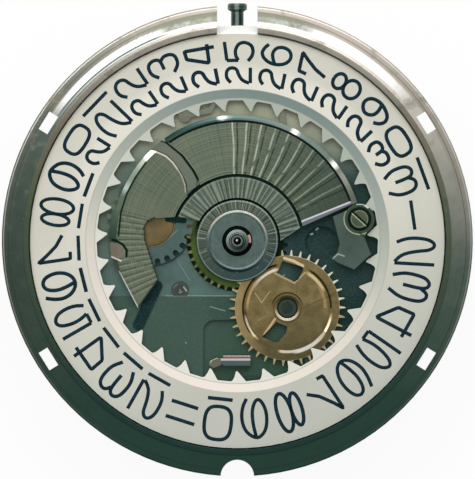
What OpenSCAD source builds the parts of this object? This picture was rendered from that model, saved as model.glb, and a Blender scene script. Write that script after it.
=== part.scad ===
// Self-winding watch movement with a date disc, dial side up.
// The axis of the hands is Z, the winding stem runs along +Y, and z = 0 is the outer face of the rotor.

/* [Body] */
// Diameter of the main plate and the bridges
plate_d = 23.8; // [23.6:0.1:24]
// Diameter over the flange of the dial ring
flange_d = 26; // [25.8:0.1:26.2]
// Height of the dial seat over the outer face of the rotor
dial_seat_z = 5.67; // [5.66:0.01:5.75]

/* [Levels] */
// Underside of the main plate
plate_z = 3.95; // [3.95:0.01:4]
// Thickness of the main plate under the motion works
plate_t = 0.77; // [0.72:0.01:0.77]
// Outer face of the barrel, train and balance bridges
bridge_z = 1.85; // [1.83:0.01:1.85]
// Thickness of the bridges
bridge_t = 0.6; // [0.55:0.01:0.6]
// Height of the axis of the stem
stem_z = 3.35; // [3.33:0.01:3.36]
// Outer face of the automatic bridge
auto_bridge_z = 1.1; // [1.1:0.01:1.12]
// Thickness of the automatic bridge
auto_bridge_t = 0.35; // [0.3:0.01:0.36]

/* [Fits] */
// Radial clearance of a pivot or shaft in its bearing
pivot_gap = 0.02; // [0.015:0.005:0.03]
// Gap between wheels and plates that pass each other
pass_gap = 0.04; // [0.03:0.01:0.05]
// Gap round a piece that lies in a pocket
pocket_gap = 0.12; // [0.1:0.01:0.15]

/* [Dial ring] */
// Width of the flange outside the raised rim
flange_w = 1.19; // [1.15:0.01:1.2]
// Width of the raised rim round the date disc
rim_w = 0.31; // [0.3:0.01:0.31]
// Height of the underside of the ring
ring_z = 4.55; // [4.5:0.01:4.6]
// Height of the flange at its inner edge
flange_top_z = 5.5; // [5.46:0.01:5.54]
// Height of the flange at its outer edge
flange_edge_z = 5.3; // [5.26:0.01:5.32]
// Width of the polished bevel at the outer edge
flange_bevel = 0.08; // [0.05:0.01:0.1]
// Angle of the windows in the flange, to each side of +Y
window_angle = 58; // [56:1:60]
// Distance from the middle of a window to the outer edge
window_in = 0.7; // [0.68:0.01:0.72]
// Length of a window round the ring
window_l = 1.13; // [1:0.01:1.2]
// Width of a window across the ring
window_w = 0.58; // [0.5:0.01:0.6]
// Width of the gap in the ring over the stem
stem_gap_w = 2.235; // [2.1:0.005:2.4]
// Radius of the half-round notch opposite the stem
notch_r = 0.92; // [0.8:0.01:1]

/* [Date disc] */
// Gap between the date disc and the rim
disc_gap = 0.06; // [0.05:0.01:0.08]
// Underside of the date disc
disc_z = 5.24; // [5.24:0.005:5.25]
// Thickness of the date disc
disc_t = 0.18; // [0.16:0.01:0.19]
// Inner edge of the printed face
face_inner_r = 8.39; // [8.3:0.01:8.45]
// Inner edge of the bevel inside the printed face
bevel_inner_r = 7.87; // [7.85:0.01:7.9]
// Root radius of the inward teeth
disc_root_r = 7.765; // [7.75:0.005:7.8]
// Tip radius of the inward teeth
disc_tip_r = 7.2; // [7.19:0.01:7.25]
// Thickness of the toothed edge
disc_tooth_t = 0.08; // [0.06:0.01:0.1]

/* [Calendar plates] */
// Radius of the calendar plate
cover_r = 6.95; // [6.9:0.01:6.97]
// Underside of the calendar plates
cover_z = 5.3; // [5.3:0.01:5.32]
// Thickness of the calendar plates
cover_t = 0.18; // [0.16:0.01:0.19]
// Inner radius of the fan-shaped calendar plate
fan_inner_r = 3.7; // [3.68:0.01:3.75]
// Depth of the polished bevel round the calendar plates
cover_bevel = 0.27; // [0.2:0.01:0.3]
// Outer radius of the centre cover
centre_cover_r = 3.56; // [3.5:0.01:3.58]
// Inner radius of the centre cover
centre_cover_inner_r = 2.38; // [2.36:0.01:2.45]
// Radius of the hub washer
hub_r = 2.26; // [2.2:0.01:2.3]
// Radius of the raised middle of the hub washer
hub_cup_r = 1.65; // [1.6:0.01:1.7]
// Radius of the hole in the hub washer
hub_hole_r = 0.8; // [0.78:0.01:0.84]
// Underside of the hub washer
hub_z = 5.45; // [5.44:0.005:5.46]

/* [Hands] */
// Radius of the hour hand seat on the hour wheel pipe
hour_seat_r = 0.62; // [0.6:0.01:0.64]
// Height of the top of the hour wheel pipe
hour_top_z = 6.45; // [6.4:0.01:6.5]
// Radius of the minute hand seat on the cannon pinion
minute_seat_r = 0.41; // [0.4:0.01:0.42]
// Height of the top of the cannon pinion
minute_top_z = 6.9; // [6.85:0.01:6.95]
// Radius of the seconds hand seat
seconds_seat_r = 0.13; // [0.12:0.005:0.14]
// Height of the top of the seconds hand seat
seconds_top_z = 7.3; // [7.25:0.01:7.4]

/* [Motion works] */
// Pitch radius of the hour wheel
hour_wheel_r = 2.7; // [2.68:0.01:2.72]
// Thickness of the motion work wheels
motion_t = 0.14; // [0.12:0.01:0.15]
// Angle of the setting wheel from the minute wheel
setting_angle = 18.5; // [16:0.5:20]
// Place of the intermediate wheel across the plate
inter_x = -4.82; // [-4.84:0.01:-4.8]
// Place of the intermediate wheel along the stem line
inter_y = 1.04; // [1.02:0.01:1.06]
// Pitch radius of the intermediate wheel
inter_r = 2.2; // [2.18:0.01:2.22]
// Radius of the core of the intermediate wheel
inter_core_r = 1.38; // [1.3:0.01:1.4]

/* [Date drive] */
// Place of the date driving wheel across the plate
date_x = 2.76; // [2.74:0.01:2.78]
// Place of the date driving wheel along the stem line
date_y = -3.71; // [-3.73:0.01:-3.69]
// Radius of the hub ring of the date driving wheel
date_hub_r = 0.74; // [0.72:0.01:0.76]
// Radius of the hole of the date driving wheel
date_hole_r = 0.57; // [0.56:0.01:0.58]
// Radius of the raised middle of the date driving wheel
date_boss_r = 2.26; // [2.2:0.01:2.3]
// Reach of the date finger
finger_r = 2.95; // [2.9:0.01:3]
// Width of the date finger
finger_w = 0.22; // [0.18:0.01:0.26]
// Angle of the date finger on its wheel at rest
finger_angle = 20; // [14:1:26]

/* [Date disc keeper and jumper] */
// Place of the keeper screw across the plate
keeper_x = 6.74; // [6.73:0.01:6.75]
// Place of the keeper screw along the stem line
keeper_y = 1.21; // [1.2:0.01:1.22]
// Underside of the disc keeper
keeper_z = 5.46; // [5.455:0.005:5.47]
// Thickness of the disc keeper
keeper_t = 0.08; // [0.06:0.01:0.08]
// Head radius of the keeper screw
keeper_head_r = 0.59; // [0.55:0.01:0.62]
// Radius of the seat round the keeper screw
keeper_seat_r = 0.83; // [0.8:0.01:0.86]

/* [Keyless works] */
// Radius of the stem
stem_r = 0.35; // [0.33:0.01:0.36]
// Radius of the threaded end of the stem
stem_head_r = 0.54; // [0.5:0.01:0.56]
// Length of the threaded end of the stem
stem_head_l = 0.46; // [0.4:0.01:0.5]
// Length of the stem outside the flange
stem_out = 0.15; // [0.1:0.01:0.16]
// Travel of the stem when it is pulled out
stem_pull = 1.1; // [1:0.05:1.1]
// Radius of the winding pinion
winding_r = 1; // [0.96:0.01:1]
// Radius of the sliding pinion
sliding_r = 0.85; // [0.82:0.01:0.86]
// Inner end of the sliding pinion
sliding_y = 5.15; // [5.1:0.01:5.2]
// Length of the sliding pinion
sliding_l = 1.45; // [1.4:0.01:1.5]
// Length of the winding pinion
winding_l = 1.3; // [1.2:0.01:1.35]
// Width of the square of the stem
square_w = 0.44; // [0.42:0.01:0.45]
// Thickness of the setting lever and the yoke
lever_t = 0.16; // [0.14:0.01:0.18]

/* [Winding] */
// Distance of the crown wheel from the axis of the hands
crown_y = 4.9; // [4.88:0.01:4.92]
// Thickness of the crown wheel and the ratchet wheel
ratchet_t = 0.28; // [0.25:0.01:0.3]
// Width of the click
click_w = 0.7; // [0.6:0.05:0.8]

/* [Barrel] */
// Distance of the barrel from the axis of the hands
barrel_dist = 5.945; // [5.94:0.005:5.95]
// Angle of the barrel
barrel_angle = 15; // [14:1:16]
// Radius of the barrel drum
drum_r = 4.9; // [4.8:0.01:4.92]
// Underside of the barrel drum
drum_z = 2.72; // [2.71:0.01:2.73]
// Top of the barrel drum
drum_top_z = 3.62; // [3.6:0.01:3.63]
// Wall of the barrel drum
drum_wall = 0.14; // [0.1:0.01:0.16]
// Radius of the core of the barrel arbor
arbor_r = 1.2; // [1.1:0.05:1.3]
// Turns of the mainspring as wound
spring_turns = 7; // [6:1:8]
// Thickness of the mainspring blade
spring_w = 0.12; // [0.1:0.01:0.14]

/* [Going train] */
// Distance of the third wheel from the axis of the hands
third_dist = 4.163; // [4.15:0.005:4.17]
// Angle of the third wheel
third_angle = 220.6; // [220:0.1:221]
// Distance of the escape wheel from the axis of the hands
escape_dist = 4; // [3.98:0.01:4.01]
// Angle of the escape wheel
escape_angle = 150; // [149:0.5:151]
// Thickness of the train wheels
train_t = 0.09; // [0.08:0.01:0.1]
// Radius of the train arbors
train_arbor_r = 0.12; // [0.1:0.01:0.13]
// Width of the spokes of the train wheels
spoke_w = 0.36; // [0.3:0.01:0.45]

/* [Escapement and balance] */
// Distance of the balance from the axis of the hands
balance_dist = 7.6; // [7.58:0.01:7.62]
// Angle of the balance
balance_angle = 188; // [187.5:0.5:188.5]
// Radius of the balance rim
balance_r = 3.95; // [3.8:0.05:4]
// Width of the balance rim
balance_rim_w = 0.42; // [0.35:0.01:0.5]
// Lower face of the balance rim
balance_z = 2.88; // [2.86:0.01:2.88]
// Thickness of the balance rim
balance_t = 0.24; // [0.2:0.01:0.24]
// Distance of the pallet fork from the escape wheel
fork_dist = 2; // [1.98:0.01:2.02]
// Radius of the escape wheel
escape_r = 1.7; // [1.65:0.01:1.72]
// Turns of the hairspring
hair_turns = 9; // [7:1:11]
// Outer radius of the hairspring
hair_r = 2.2; // [2:0.05:2.3]

/* [Rotor] */
// Radius of the rotor
rotor_r = 11.7; // [11.5:0.05:11.8]
// Width of the heavy rim of the rotor
rotor_rim_w = 1.8; // [1.6:0.1:2]
// Thickness of the heavy rim of the rotor
rotor_rim_t = 0.95; // [0.85:0.05:0.95]
// Lower face of the rotor plate
rotor_plate_z = 0.5; // [0.48:0.01:0.52]
// Thickness of the rotor plate
rotor_plate_t = 0.25; // [0.2:0.01:0.26]
// Radius of the ball track
track_r = 1.3; // [1.3:0.01:1.32]
// Radius of the balls
ball_r = 0.15; // [0.14:0.01:0.16]
// Number of balls
ball_count = 7; // [5:1:9]
// Outer radius of the outer bearing race
race_r = 1.9; // [1.85:0.05:2]
// Pitch radius of the rotor gear
rotor_gear_r = 2.16; // [2.15:0.01:2.17]
// Angle of the reversing wheel
reversing_angle = -20; // [-21:1:-19]

/* [Hidden] */
$fn = 96;
// Overshoot of a cut past the face that it opens
over = 0.5;
// Teeth of the date disc, one for each day
days = 31;
// Tooth counts of the motion works: their product gives one turn of the hour wheel in twelve
hour_teeth = 40;
minute_pinion_teeth = 10;
cannon_teeth = 12;
minute_teeth = 36;
setting_teeth = 18;
inter_teeth = 25;
inter_pinion_teeth = 7;
date_teeth = 38;
date_pinion_teeth = 19;
// Tooth counts of the winding and of the automatic works
crown_teeth = 24;
ratchet_teeth = 42;
winding_teeth = 12;
reduction_pinion_teeth = 8;
reduction_teeth = 44;
reversing_pinion_teeth = 8;
reversing_teeth = 30;
rotor_gear_teeth = 36;
// Tooth counts of the going train, from the barrel to the escape wheel
barrel_teeth = 72;
centre_pinion_teeth = 10;
centre_teeth = 64;
third_pinion_teeth = 8;
third_teeth = 60;
fourth_pinion_teeth = 8;
fourth_teeth = 84;
escape_pinion_teeth = 7;
escape_teeth = 15;

// A point at a distance and an angle from a centre
function at(c, r, a) = [c[0] + r * cos(a), c[1] + r * sin(a)];
// The distance and the angle from one point to another
function reach(p, q) = norm(q - p);
function bearing(p, q) = atan2(q[1] - p[1], q[0] - p[0]);
// The angle of a tooth of wheel b that lets it mesh with wheel a, which lies in direction dir from it to b
function mesh(dir, phase_a, teeth_a, teeth_b) =
  dir + 180 - 360 / teeth_b * (0.5 - (dir - phase_a) * teeth_a / 360);
// The pitch radii of a meshing pair share its centre distance as its teeth do
function share(dist, teeth, mate) = dist * teeth / (teeth + mate);
// Points along an arc
function arc(c, r, a0, a1, n = 24) = [for (i = [0 : n]) at(c, r, a0 + (a1 - a0) * i / n)];

// Places of the axes
axis = [0, 0];
inter_pos = [inter_x, inter_y];
minute_dist = hour_wheel_r * (1 + minute_pinion_teeth / hour_teeth);
cannon_r = share(minute_dist, cannon_teeth, minute_teeth);
minute_r = share(minute_dist, minute_teeth, cannon_teeth);
inter_pinion_r = minute_r * inter_pinion_teeth / minute_teeth;
inter_dist = norm(inter_pos);
inter_mesh = minute_r + inter_pinion_r;
minute_turn = acos((minute_dist ^ 2 + inter_dist ^ 2 - inter_mesh ^ 2) / (2 * minute_dist * inter_dist));
minute_pos = at(axis, minute_dist, bearing(axis, inter_pos) - minute_turn);
setting_r = minute_r * setting_teeth / minute_teeth;
setting_pos = at(minute_pos, minute_r + setting_r, setting_angle);
date_pos = [date_x, date_y];
date_dist = norm(date_pos);
date_r = share(date_dist, date_teeth, date_pinion_teeth);
date_pinion_r = share(date_dist, date_pinion_teeth, date_teeth);
barrel_pos = at(axis, barrel_dist, barrel_angle);
barrel_r = share(barrel_dist, barrel_teeth, centre_pinion_teeth);
centre_pinion_r = share(barrel_dist, centre_pinion_teeth, barrel_teeth);
crown_pos = [0, crown_y];
crown_dist = reach(crown_pos, barrel_pos);
crown_r = share(crown_dist, crown_teeth, ratchet_teeth);
ratchet_r = share(crown_dist, ratchet_teeth, crown_teeth);
ratchet_module = 2 * ratchet_r / ratchet_teeth;
reduction_pinion_r = ratchet_module * reduction_pinion_teeth / 2;
reduction_angle = 260;
reduction_pos = at(barrel_pos, ratchet_r + reduction_pinion_r, reduction_angle);
reversing_r = rotor_gear_r * reversing_teeth / rotor_gear_teeth;
reversing_pos = at(axis, rotor_gear_r + reversing_r, reversing_angle);
reduction_dist = reach(reversing_pos, reduction_pos);
reduction_r = share(reduction_dist, reduction_teeth, reversing_pinion_teeth);
reversing_pinion_r = share(reduction_dist, reversing_pinion_teeth, reduction_teeth);
third_pos = at(axis, third_dist, third_angle);
centre_wheel_r = share(third_dist, centre_teeth, third_pinion_teeth);
third_pinion_r = share(third_dist, third_pinion_teeth, centre_teeth);
third_wheel_r = share(third_dist, third_teeth, fourth_pinion_teeth);
fourth_pinion_r = share(third_dist, fourth_pinion_teeth, third_teeth);
escape_pos = at(axis, escape_dist, escape_angle);
fourth_wheel_r = share(escape_dist, fourth_teeth, escape_pinion_teeth);
escape_pinion_r = share(escape_dist, escape_pinion_teeth, fourth_teeth);
balance_pos = at(axis, balance_dist, balance_angle);
fork_angle = bearing(escape_pos, balance_pos);
fork_pos = at(escape_pos, fork_dist, fork_angle);
fork_reach = reach(fork_pos, balance_pos);
keeper_pos = [keeper_x, keeper_y];

// Levels, from the dial side down to the rotor
plate_r = plate_d / 2;
flange_r = flange_d / 2;
rim_r = flange_r - flange_w;
rim_inner_r = rim_r - rim_w;
disc_r = rim_inner_r - disc_gap;
stem_end_y = flange_r + stem_out;
floor_z = plate_z + plate_t;
bridge_top_z = bridge_z + bridge_t;
auto_bridge_top_z = auto_bridge_z + auto_bridge_t;
disc_top_z = disc_z + disc_t;
seat_z = disc_z - 0.02;
cover_top_z = cover_z + cover_t;
minute_z = floor_z + pass_gap;
hour_z = minute_z + motion_t + 0.02;
date_z = hour_z + motion_t + 0.03;
field_z = 4.98;
drive_top_z = date_z + motion_t - 0.01;
auto_wheel_z = auto_bridge_top_z + 0.07;
auto_wheel_t = 0.2;
rotor_gear_z = auto_bridge_z - 0.3;
rotor_gear_t = 0.22;
fourth_z = bridge_top_z + 0.08;
fourth_pinion_top_z = 2.92;
third_z = 2.72;
centre_z = plate_z - 0.19;
centre_t = 0.12;
barrel_tooth_t = 0.2;
barrel_tooth_z = drum_top_z - barrel_tooth_t;
escape_z = 3.42;
escape_t = 0.12;
// Module of a wheel with its teeth on a pitch radius
function module_of(r, n) = 2 * r / n;
// Tip and root of a tooth, in modules
tip_add = 0.75;
root_ded = 1.15;
function tip_of(r, n) = r + tip_add * module_of(r, n);
function root_of(r, n) = r - root_ded * module_of(r, n);

// Outline of a gear: four points a tooth, its flanks straight
function gear_points(r, n, phase, wide, narrow) =
  [for (i = [0 : n - 1]) let (a = phase + 360 * i / n, p = 360 / n)
    each [at(axis, root_of(r, n), a - wide * p), at(axis, tip_of(r, n), a - narrow * p),
       at(axis, tip_of(r, n), a + narrow * p), at(axis, root_of(r, n), a + wide * p)]];

// A wheel's toothed outline, with the tooth narrower than the space so that a pair turns freely
module gear(r, n, phase) {
  polygon(gear_points(r, n, phase, 0.27, 0.11));
}

// A pinion's outline, with thinner leaves
module pinion(r, n, phase) {
  polygon(gear_points(r, n, phase, 0.2, 0.13));
}

// A rounded bar between two points
module bar(p, q, w) {
  translate(p) circle(d = w);
  translate(q) circle(d = w);
  translate(p) rotate(bearing(p, q)) translate([0, -w / 2]) square([reach(p, q), w]);
}

// The same outline as one polygon, for bars that run into each other
module strap(p, q, w) {
  a = bearing(p, q);
  polygon(concat(arc(p, w / 2, a + 90, a + 270), arc(q, w / 2, a - 90, a + 90)));
}

// A flat piece between two heights
module slab(z0, z1) {
  translate([0, 0, z0]) linear_extrude(z1 - z0) children();
}

// A round post or hole between two heights
module post(p, r, z0, z1) {
  translate([p[0], p[1], z0]) cylinder(h = z1 - z0, r = r);
}

// A flat ring
module ring(r_out, r_in) {
  difference() {
    circle(r = r_out);
    circle(r = r_in);
  }
}

// A pie slice between two angles, up to a radius
module slice(r, a0, a1) {
  polygon(concat([axis], arc(axis, r, a0, a1)));
}

// The windows between the spokes of a wheel
module spoke_windows(r_out, r_in, count, w) {
  difference() {
    ring(r_out, r_in);
    for (i = [0 : count - 1]) rotate(360 * i / count) translate([0, -w / 2]) square([r_out + 1, w]);
  }
}

// A screw from its slotted head down, its head's face at the height z and its shank towards the sign of dir
module screw(p, head_r, head_t, shank_r, shank_l, z, dir, slot_angle) {
  slot_w = head_r * 0.22;
  translate([p[0], p[1], z]) mirror([0, 0, dir > 0 ? 1 : 0]) difference() {
    union() {
      translate([0, 0, -head_t]) cylinder(h = head_t, r = head_r);
      translate([0, 0, -head_t - shank_l]) cylinder(h = shank_l, r = shank_r);
    }
    rotate(slot_angle) translate([-head_r - over, -slot_w / 2, -head_t * 0.45])
      cube([2 * (head_r + over), slot_w, head_t]);
  }
}

// Phases of the motion works, each wheel's teeth set into its neighbour's spaces
cannon_phase = 0;
hour_phase = 4.5;
minute_phase = mesh(bearing(axis, minute_pos), cannon_phase, cannon_teeth, minute_teeth);
minute_pinion_phase = mesh(bearing(axis, minute_pos), hour_phase, hour_teeth, minute_pinion_teeth);
setting_phase = mesh(bearing(minute_pos, setting_pos), minute_phase, minute_teeth, setting_teeth);
inter_pinion_phase = mesh(bearing(minute_pos, inter_pos), minute_phase, minute_teeth, inter_pinion_teeth);
date_pinion_phase = 0;
date_phase = mesh(bearing(axis, date_pos), date_pinion_phase, date_pinion_teeth, date_teeth);
// Posts that the motion work wheels turn on, and those that carry the calendar plates
wheel_post_r = 0.24;
minute_post_top_z = hour_z + 0.08;
inter_post_top_z = date_z + 0.05;
setting_post_top_z = minute_z + motion_t;
cover_post_r = 0.3;
cover_posts = [[4.9, 4.1], [-0.9, 6.4], [-3.75, 5.4], [-5.9, -1.7], [-4.95, 4.5]];
// Central bore of the main plate, and the pipes that stand in each other on the hand axis
cannon_pipe_r = minute_seat_r + 0.02;
tube_r = minute_seat_r - 0.11;
cannon_bore_r = tube_r + 0.01;
seconds_arbor_r = seconds_seat_r + 0.02;
tube_bore_r = seconds_arbor_r + 0.07;
hour_bore_r = cannon_pipe_r + 0.03;
hour_shoulder_r = 1.2;
// The washer's thickness, and the step inside it that the hour hand rests on
hub_t = 0.15;
hour_step_z = hub_z + hub_t + 0.02;
// The hands' seats begin this far above the pipe round them
seat_rise = 0.03;
// Radius of the disc seat on the main plate, and the reach of the recess inside it
seat_inner_r = 7.9;
// Recess for the keyless works under the date disc
keyless_w = 3.7;
keyless_y = 10.9;
// Height of the raised field at the bottom of the plate, its edge and its rounded pocket
field_y = -3.04;
pocket_left_x = -1.88;
pocket_top_y = -4.37;
field_pocket_r = 0.6;
// Deep pocket right of the centre
side_pocket = [4.67, -0.12];
side_pocket_r = 0.94;
// The slot in the plate for the pin of the setting lever, and the one for the finger of the yoke
groove_y = 9.3;
lever_pivot = [-2.2, groove_y + stem_pull / 2];
lever_reach = -lever_pivot[0];
lever_rest = -asin(stem_pull / 2 / lever_reach);
lever_pin_r = 0.15;
sliding_travel = stem_pull / 2;
yoke_y = 5.975;
yoke_pivot = [2.7, yoke_y - sliding_travel / 2];
yoke_finger_w = 0.14;
yoke_rest = -asin(sliding_travel / 2 / yoke_pivot[0]);
// Outer wall under the main plate, and the block that carries the stem
wall_w = 0.45;
stem_block_w = 4.4;
stem_block_y = 8.35;
stem_wall_y = 4.05;
stem_wall_t = 0.5;
stem_pivot_r = 0.2;
balance_room_r = balance_r + 0.17;
cock_a0 = 213;
cock_a1 = 233;

// The recesses in the dial side of the main plate: motion works, keyless works and the teeth's track
module dial_recess() {
  circle(r = seat_inner_r);
  intersection() {
    translate([-keyless_w, 0]) square([2 * keyless_w, keyless_y]);
    circle(r = disc_r - 0.4);
  }
}

// The raised field in the lower part of the recess, with its rounded pocket
module raised_field() {
  difference() {
    intersection() {
      circle(r = seat_inner_r);
      polygon([[-6.5, -3.9], [-4.22, field_y], [-0.31, field_y], [1.2, -3.5], [3, -5], [6.4, -4.6],
        [6.4, -8], [-6.5, -8]]);
    }
    translate([pocket_left_x + field_pocket_r, -8]) square([5, 8 + pocket_top_y]);
    translate([pocket_left_x, -8]) square([5, 8 + pocket_top_y - field_pocket_r]);
    translate([pocket_left_x + field_pocket_r, pocket_top_y - field_pocket_r]) circle(r = field_pocket_r);
  }
}

// Main plate: the base that every bridge, wheel and spring is built on
module main_plate() {
  color("#46594f") difference() {
    union() {
      post(axis, plate_r, plate_z, ring_z);
      post(axis, rim_inner_r - 0.05, ring_z - 0.01, seat_z);
      // Outer wall that the bridges stand on
      slab(bridge_top_z, plate_z + 0.1) ring(plate_r, plate_r - wall_w);
      // Pillars for the bridge screws
      for (p = concat(bridge_screw_pos, train_screw_pos)) post(p, 0.6, bridge_top_z, plate_z + 0.1);
      // Block round the stem and the wall for its inner pivot
      slab(bridge_top_z, plate_z + 0.1) intersection() {
        translate([-stem_block_w / 2, stem_block_y]) square([stem_block_w, plate_r]);
        circle(r = plate_r);
      }
      slab(stem_z - 0.5, plate_z + 0.1) translate([-0.8, stem_wall_y]) square([1.6, stem_wall_t]);
    }
    // Recess of the dial side
    slab(floor_z, seat_z + over) dial_recess();
    // Bore for the centre wheel's tube
    post(axis, tube_r + pivot_gap, plate_z - over, floor_z + over);
    // Stem bore, its inner pivot bore and the pockets for the two pinions
    translate([0, stem_block_y - over, stem_z]) rotate([-90, 0, 0]) cylinder(h = plate_r, r = stem_r + pivot_gap);
    translate([0, stem_wall_y - over, stem_z]) rotate([-90, 0, 0])
      cylinder(h = stem_wall_t + 2 * over, r = stem_pivot_r + pivot_gap);
    slab(stem_z - winding_r - pocket_gap, stem_z + winding_r + pocket_gap)
      translate([-winding_r - pocket_gap, sliding_y - sliding_travel - 0.03])
      square([2 * (winding_r + pocket_gap), stem_block_y - sliding_y + sliding_travel + 0.03]);
    // Slots for the pin of the setting lever and the finger of the yoke
    slab(stem_z, floor_z + over) translate([-0.42, groove_y - 0.32]) square([0.84, stem_pull + 0.64]);
    slab(plate_z, floor_z + over) translate([-0.42, yoke_y - sliding_travel - 0.2])
      square([0.84, sliding_travel + 0.4]);
    // Deep pocket, and the holes for the date wheel's screw and the keeper's screw
    post(side_pocket, side_pocket_r, plate_z + 0.25, floor_z + over);
    post(date_pos, 0.32, plate_z - over, floor_z + over);
    // Room for the balance, which reaches under the wall
    post(balance_pos, balance_room_r, bridge_top_z - over, plate_z);
    slab(bridge_top_z - over, plate_z) difference() {
      slice(plate_r + over, cock_a0 - 1, cock_a1 + 1);
      circle(r = plate_r - 3.4);
    }
    // Holes for the jewels and the barrel arbor
    post(third_pos, 0.5, plate_z - over, floor_z + over);
    for (p = [escape_pos, fork_pos, balance_pos]) post(p, 0.4, plate_z - over, plate_z + 0.35);
    post(barrel_pos, 0.5 + pivot_gap, plate_z - over, plate_z + 0.4);
    // Holes for the bridge screws
    for (p = concat(bridge_screw_pos, train_screw_pos)) post(p, 0.22, bridge_top_z - over, bridge_top_z + 0.8);
    post(cock_screw, 0.22, plate_z - over, plate_z + 0.4);
  }
  color("#46594f") difference() {
    union() {
      slab(floor_z - 0.1, field_z) raised_field();
      post(minute_pos, wheel_post_r, floor_z - 0.1, minute_post_top_z);
      post(inter_pos, wheel_post_r, floor_z - 0.1, inter_post_top_z);
      post(setting_pos, wheel_post_r, floor_z - 0.1, setting_post_top_z);
      post(lever_pivot, wheel_post_r, floor_z - 0.1, floor_z + pass_gap + lever_t);
      post(yoke_pivot, wheel_post_r, floor_z - 0.1, floor_z + pass_gap + lever_t);
      post(keeper_pos, 0.28, floor_z - 0.1, keeper_z);
      for (p = cover_posts) post(p, cover_post_r, floor_z - 0.1, cover_z);
    }
    post(third_pos, 0.5, floor_z - over, floor_z);
    post(date_pos, 0.6, floor_z - over, field_z + over);
    post(keeper_pos, 0.17, floor_z, keeper_z + over);
  }
}

// Dial ring: the flange that the dial and the case hold, with its rim, windows, stem gap and notch
module dial_ring() {
  color("#7d857a") difference() {
    rotate_extrude() polygon([[rim_inner_r, ring_z], [flange_r - 0.05, ring_z], [flange_r, ring_z + 0.05],
      [flange_r, flange_edge_z], [flange_r - flange_bevel, flange_edge_z + 0.05],
      [rim_r + 0.04, flange_top_z], [rim_r, flange_top_z + 0.02], [rim_r, dial_seat_z - 0.04],
      [rim_r - 0.04, dial_seat_z], [rim_inner_r + 0.04, dial_seat_z], [rim_inner_r, dial_seat_z - 0.04]]);
    for (a = [window_angle, 180 - window_angle, 180 + window_angle, -window_angle])
      rotate(90 - a) translate([flange_r - window_in - window_w / 2, -window_l / 2, ring_z - over])
        cube([window_w, window_l, dial_seat_z]);
    translate([-stem_gap_w / 2, rim_inner_r - over, ring_z - over]) cube([stem_gap_w, flange_r, dial_seat_z]);
    post([0, -flange_r], notch_r, ring_z - over, dial_seat_z + over);
  }
}

// One inward tooth of the date disc: a steep flank with a rounded root, a point and a slanted flank
function disc_tooth(a) = let (p = 360 / days)
  [at(axis, disc_root_r, a - 0.2 * p), at(axis, disc_root_r - 0.07, a - 0.14 * p),
  at(axis, disc_tip_r + 0.3, a - 0.08 * p), at(axis, disc_tip_r, a - 0.03 * p),
  at(axis, disc_tip_r, a + 0.03 * p), at(axis, disc_root_r, a + 0.33 * p)];
tooth_turn = 90 - 6.06;

// Date disc: a flat printed face, a bevel inside it and a thin toothed edge
module date_disc() {
  pitch = 360 / days;
  color("#dcd7cb") union() {
    rotate_extrude() polygon([[bevel_inner_r, disc_z], [disc_r, disc_z], [disc_r, disc_top_z],
      [face_inner_r, disc_top_z], [bevel_inner_r, disc_z + disc_tooth_t]]);
    slab(disc_z, disc_z + disc_tooth_t) difference() {
      circle(r = bevel_inner_r + 0.02);
      polygon([for (i = [0 : days - 1]) each disc_tooth(tooth_turn + i * pitch)]);
    }
  }
}

// Stripes and bevels are finishes; the calendar plates are cut to these outlines
fan_edge = [[-3.96, 5.47], [-3.5, 5.13], [-3.06, 4.74], [-2.72, 4.33], [-2.43, 3.89], [-2.2, 3.45]];
strip_edge = [[-2.8, 2.63], [-2.85, 3.16], [-3.02, 3.62], [-3.27, 4], [-3.56, 4.4], [-3.91, 4.74], [-4.4, 4.95],
  [-4.8, 5.02]];

module fan_outline(r, r_in) {
  difference() {
    intersection() {
      circle(r = r);
      polygon(concat([[3.4, 0.67], [7.5, 2.52], [7.5, 8], [-4.6, 8]], fan_edge, [[-2, 3], [0, 0.5]]));
    }
    circle(r = r_in);
  }
}

module left_outline(r) {
  intersection() {
    circle(r = r);
    polygon(concat(strip_edge, [[-6, 6.2], [-9, 3], [-8, -0.5], [-6.65, -1.49], [-5.49, -3.71],
      [-4.33, -2.12], [-4.72, -1], [-5.07, 0.09], [-5.12, 0.73], [-4.92, 1.08], [-4.54, 1.25],
      [-3.48, 1.31]], arc(axis, fan_inner_r, 159, 138, 8)));
  }
}

// A round blank with a sloping edge, which the outlines of the calendar plates are cut from
module bevelled(r) {
  rotate_extrude() polygon([[0, cover_z], [r, cover_z], [r, cover_z + 0.07], [r - cover_bevel, cover_top_z],
    [0, cover_top_z]]);
}

// Calendar plate: the brushed fan over the keyless works, with a bevelled edge and a strip under its left end
module calendar_plate() {
  color("#6b7565") {
    difference() {
      intersection() {
        slab(cover_z, cover_top_z) fan_outline(cover_r, fan_inner_r);
        bevelled(cover_r);
      }
      slab(cover_top_z - 0.05, cover_top_z + over) ring(cover_r - cover_bevel - 0.02, cover_r - cover_bevel - 0.14);
      for (p = [[4.9, 4.1], [-0.9, 6.4]]) post(p, 0.12, cover_z - over, cover_z + 0.06);
    }
    slab(cover_z, cover_z + 0.06) intersection() {
      circle(r = cover_r);
      polygon(concat([[-2.74, 2.72], [-2.8, 3.18], [-3, 3.62], [-3.25, 4.02], [-3.54, 4.42], [-3.89, 4.76],
        [-4.4, 4.98], [-4.9, 5.1]], [[-4.4, 5.6]], fan_edge, [[-2.3, 2.95]]));
    }
  }
}

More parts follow.
